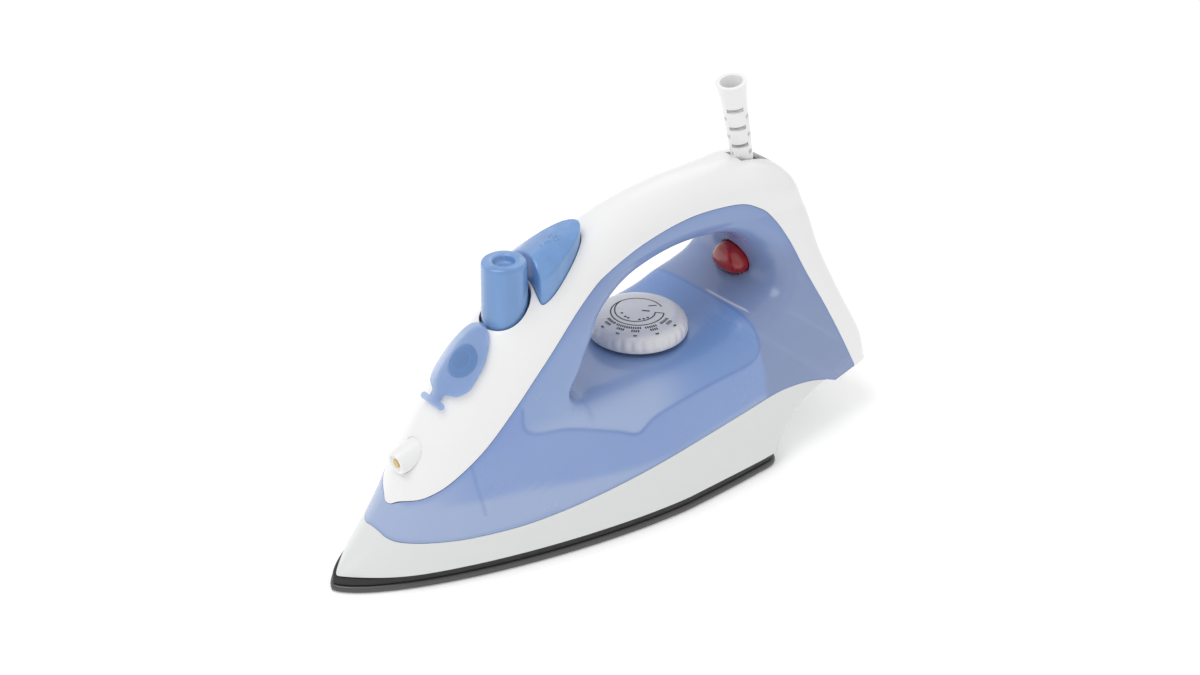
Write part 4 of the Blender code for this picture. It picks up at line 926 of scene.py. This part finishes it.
def button_top(x, y):
    """The pad's height: rising to the rear, saddle-shaped across and dished for a thumb."""
    along = np.clip((x - 102) / 29, 0, 1)
    across = np.minimum(1.0, np.abs(y) / 12.8)
    return (113.2 + 13.2 * along ** 0.9 + 6.0 * (1 - across ** 2) * (1 - along)
            - 1.6 * np.sin(math.pi * along))


def button_block(name, grow, low, high):
    """A solid with the button's outline between two surfaces, its upper edge rounded."""
    edge = button_outline(grow)
    middle = np.array((115.0, 0.0))
    rings = [np.column_stack([edge, low(*edge.T)])]
    for scale, drop in ((1.0, 1.1), (0.997, 0.7), (0.985, 0.35), (0.965, 0.1), (0.93, 0.0), (0.8, 0.0),
                        (0.65, 0.0), (0.5, 0.0), (0.35, 0.0), (0.2, 0.0), (0.07, 0.0)):
        ring = middle + (edge - middle) * scale
        rings.append(np.column_stack([ring, high(*ring.T) - drop]))
    return stack(name, np.array(rings))


def build_button():
    """The spray button's leaf-shaped pad, with a small drop and two strokes moulded on it."""
    button = button_block("spray_button_fine", 0.0, lambda x, y: BUTTON_FOOT + (x - 102) * 0.5, button_top)
    finish_piece(settle(button, 28), "spray_control", "button_blue", BLUE_KNOB, "spray_button")
    for k, (x, y, length, turn) in enumerate([(113.5, 0, 3.2, 0), (116.8, -2.2, 2.6, -25), (116.8, 2.2, 2.6, 25),
                                              (117.6, 0, 2.6, 0), (110.3, 0, 1.4, 90)]):
        pad = raised_stroke("button_mark_%d" % k, x, y, length, turn)
        finish_piece(pad, "spray_control", "button_blue", BLUE_KNOB)


def raised_stroke(name, x, y, length, turn):
    """A small rounded ridge moulded on the button's top."""
    around = np.linspace(0, 2 * math.pi, 24, endpoint=False)
    a = math.radians(turn)
    rings = []
    for scale, lift in ((1.0, -0.3), (1.0, 0.05), (0.8, 0.2), (0.4, 0.28)):
        u, v = length / 2 * np.cos(around) * scale, 0.5 * np.sin(around) * scale
        px, py = x + u * math.cos(a) - v * math.sin(a), y + u * math.sin(a) + v * math.cos(a)
        rings.append(np.column_stack([px, py, button_top(px, py) + lift]))
    return settle(stack(name, np.array(rings)), 60)


# ---------------------------------------------------------------- nozzle, lid, lamp and cord guard

def nozzle_shape(name, grow, extra):
    """The nozzle's plain cone along its axis, grown for use as a tool."""
    axis = (NOZZLE_END - NOZZLE_ROOT).normalized()
    length = (NOZZLE_END - NOZZLE_ROOT).length
    turn = Vector((0, 0, 1)).rotation_difference(axis).to_matrix()
    slope = 1.6 / length
    profile = [(0, length + extra), (5.0 + grow - slope * extra, length + extra),
               (6.6 + grow + slope * extra, -extra), (0, -extra)]
    return lathe(name, profile, NOZZLE_ROOT, turn, 64)


def build_nozzle():
    """The spray nozzle: a tapered snout with a rolled end and a recessed mouth."""
    axis = (NOZZLE_END - NOZZLE_ROOT).normalized()
    length = (NOZZLE_END - NOZZLE_ROOT).length
    turn = Vector((0, 0, 1)).rotation_difference(axis).to_matrix()
    profile = rounded([(0.9, length - 0.9), (2.9, length - 0.8), (3.7, length - 0.05), (4.95, length - 0.05),
                       (5.3, length - 2.4), (6.6, 0), (6.9, -3.2), (2.6, -3.2), (2.3, length - 2.2),
                       (0.9, length - 1.3)], 0.5)
    nozzle = settle(lathe("spray_nozzle_fine", profile, NOZZLE_ROOT, turn, 64), 40)
    finish_piece(nozzle, "housing", "white_plastic", WHITE, "spray_nozzle")


def slope_point(along, y, lift):
    """Points over the front ridge: along from the lid's hinge, across by y, lifted off the surface."""
    x = 55.0 + along * FRONT_ALONG.x
    z = np.interp(x, *OUTLINE_CURVE.T)
    radius, width = between(x, EDGE_RADIUS), flank_half(x, z - 12)
    depth = radius * (1 - np.sqrt(np.clip(1 - (y / width) ** 2, 0, 1))) - lift
    return np.stack([x - FRONT_NORMAL.x * depth, y, z - FRONT_NORMAL.z * depth], -1)


def build_lid():
    """The leaf-shaped flap with its neck and T-shaped hinge bar, and the sealing ring under it."""
    widths = [(0, 2.6), (3.5, 2.8), (6.5, 8.6), (12, 11.2), (20, 11.0), (28, 8.8), (34, 5.2), (36.6, 1.0)]
    along = 36.6 * (1 - (1 - np.linspace(0, 1, 70)) ** 1.3)
    across = np.linspace(-1, 1, 25)
    y = between(along, widths)[:, None] * across
    points = slope_point(along[:, None] + 0 * y, y, 0.9)
    mesh = bmesh.new()
    grid(mesh, points)
    weld(mesh)
    mesh.normal_update()
    if sum(face.normal.z for face in mesh.faces) < 0:
        bmesh.ops.reverse_faces(mesh, faces=mesh.faces)
    lid = new_object("fill_lid_fine", mesh)
    solid = lid.modifiers.new("wall", "SOLIDIFY")
    solid.thickness = 1.5 * MM
    solid.offset = 1.0
    settle(lid)
    hinge = Vector(LID_HINGE)
    bar = lathe("hinge_bar", rounded([(0, 6.5), (1.5, 6.5), (1.5, -6.5), (0, -6.5)], 0.5), hinge,
                Matrix.Rotation(math.pi / 2, 3, "X"), 32)
    cut(lid, bar, "UNION")
    settle(bevel(lid, 0.35))
    finish_piece(lid, "filler_lid", "lid_blue", BLUE_LID, "fill_lid")
    turn = Vector((0, 0, 1)).rotation_difference(FRONT_NORMAL).to_matrix()
    ring = settle(lathe("lid_seal", rounded([(5.0, 0.7), (5.0, -2.2), (4.1, -2.2), (4.1, 0.7)], 0.3), COLLAR_AT, turn))
    finish_piece(ring, "filler_lid", "lid_blue", BLUE_LID)


def build_collar():
    """The filling mouth: a funnel that runs down from the front slope into the tank."""
    profile = rounded([(COLLAR_RADIUS, -0.6), (COLLAR_RADIUS, -5.0), (4.6, -18.0), (3.4, -18.0), (5.6, -5.0),
                       (5.8, -0.6)], 0.3)
    turn = Vector((0, 0, 1)).rotation_difference(FRONT_NORMAL).to_matrix()
    collar = settle(lathe("fill_collar_fine", profile, COLLAR_AT, turn, 64))
    finish_piece(collar, "housing", "lid_blue", BLUE_LID, "fill_collar")


def lamp_shape(name, grow, front, back):
    """The lens outline, a rounded drop with its point up, drawn out along the lens's own axis."""
    around = np.linspace(0, 2 * math.pi, 96, endpoint=False)
    y = (9.6 + grow) * np.cos(around) * (1 - 0.1 * np.sin(around))
    z = (7.4 + grow) * (np.sin(around) - 0.1 * np.cos(2 * around) + 0.05)
    turn = np.array(Matrix.Rotation(LAMP_LEAN, 3, "Y")).T
    rings = [np.column_stack([np.full(96, x), y, z]) @ turn + np.array(LAMP_AT) for x in (-front, back)]
    return stack(name, np.array(rings))


def build_lamp():
    """The red lens: a soft dome over a drop-shaped outline."""
    around = np.linspace(0, 2 * math.pi, 96, endpoint=False)
    y = 9.4 * np.cos(around) * (1 - 0.1 * np.sin(around))
    z = 7.2 * (np.sin(around) - 0.1 * np.cos(2 * around) + 0.05)
    turn = np.array(Matrix.Rotation(LAMP_LEAN, 3, "Y")).T
    rings = []
    for scale, x in ((0.9, 5.5), (1.0, 5.0), (1.0, -0.2), (0.985, -1.7), (0.95, -3.0), (0.89, -4.1), (0.8, -5.0),
                     (0.67, -5.7), (0.5, -6.2), (0.3, -6.5), (0.08, -6.6)):
        rings.append(np.column_stack([np.full(96, x), y * scale, z * scale]) @ turn + np.array(LAMP_AT))
    lens = settle(stack("lamp_lens_fine", np.array(rings)), 50)
    finish_piece(lens, "housing", "lamp_red", RED, "lamp_lens")


def build_guard():
    """The cord guard's flared, slotted tube."""
    low, high, bore = 9.0, 51.5, 3.7
    profile = rounded([(6.9, high), (6.6, high - 1.4), (5.8, high - 7.0), (5.4, high - 12.0), (5.2, high - 24.0),
                       (4.8, high - 36.0), (4.6, low), (bore, low), (bore, high - 8.0), (4.9, high)], 0.5)
    turn = Matrix.Rotation(GUARD_LEAN, 3, "Y")
    guard = settle(lathe("cord_guard_fine", profile, GUARD_PIVOT, turn, 64), 40)
    for k in range(6):
        wide, deep = (16.0, 7.0) if k % 2 else (7.0, 16.0)
        height = GUARD_SLOT_LOW + k * GUARD_SLOT_STEP
        tool = block("guard_window", (-wide / 2 + MIDDLE_X, -deep / 2, height - 1), (wide / 2 + MIDDLE_X, deep / 2,
                                                                                  height + 1))
        tool.data.transform(turn.to_4x4() @ Matrix.Rotation(GUARD_SLOT_TURN, 4, "Z"))
        tool.data.transform(Matrix.Translation(place(GUARD_PIVOT)))
        cut(guard, tool)
    settle(bevel(guard, 0.2), 40)
    finish_piece(guard, "cord_swivel", "white_plastic", WHITE, "cord_guard")


# ---------------------------------------------------------------- carried-over pieces and the stage

def finish_packed_nodes():
    """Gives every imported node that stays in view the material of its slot."""
    looks = {"white_plastic": WHITE, "tank_blue": CORE, "bright_steel": STEEL, "aluminium": ALUMINIUM,
             "brass": BRASS, "ceramic": CERAMIC, "silicone": SILICONE, "inner_plastic": INNER,
             "lamp_glass": GLASS, "wire_cover": SLEEVE}
    for entry in frame["record"]["subparts"]:
        node = frame["nodes"][entry["node"]]
        if not node.hide_render:
            look = looks[entry["material_slot"]]
            node.data.materials.clear()
            node.data.materials.append(look.material)


def build_stage():
    """A plain pale floor, soft box lights and the camera."""
    mesh = bmesh.new()
    bmesh.ops.create_grid(mesh, x_segments=1, y_segments=1, size=6.0)
    floor = new_object("floor", mesh, PAPER.material)

    target = Vector((0, 0, 0.06))
    for name, at, size, power in LIGHTS:
        data = bpy.data.lights.new(name, "AREA")
        data.shape = "DISK"
        data.size = size
        data.energy = power
        light = bpy.data.objects.new(name, data)
        light.location = at
        light.rotation_euler = (target - light.location).to_track_quat("-Z", "Y").to_euler()
        bpy.context.scene.collection.objects.link(light)

    world = bpy.data.worlds.new("studio")
    world.use_nodes = True
    world.node_tree.nodes["Background"].inputs["Color"].default_value = (1.0, 1.0, 1.0, 1.0)
    world.node_tree.nodes["Background"].inputs["Strength"].default_value = AMBIENT
    bpy.context.scene.world = world
    bpy.context.scene.view_settings.view_transform = "Standard"

    data = bpy.data.cameras.new("camera")
    data.lens = 66.0
    data.sensor_width = 36.0
    camera = bpy.data.objects.new("camera", data)
    camera.location = place(CAMERA_AT)
    camera.rotation_euler = Vector(CAMERA_VIEW).to_track_quat("-Z", "Y").to_euler()
    bpy.context.scene.collection.objects.link(camera)
    bpy.context.scene.camera = camera


def build():
    build_tank_shell()
    build_skirt()
    build_white_shells()
    build_soleplate()
    build_heat_shield()
    build_reservoir()
    build_dial()
    build_knob()
    build_button()
    build_nozzle()
    build_lid()
    build_collar()
    build_lamp()
    build_guard()
    finish_packed_nodes()
    build_stage()


build()

bpy.context.view_layer.update()
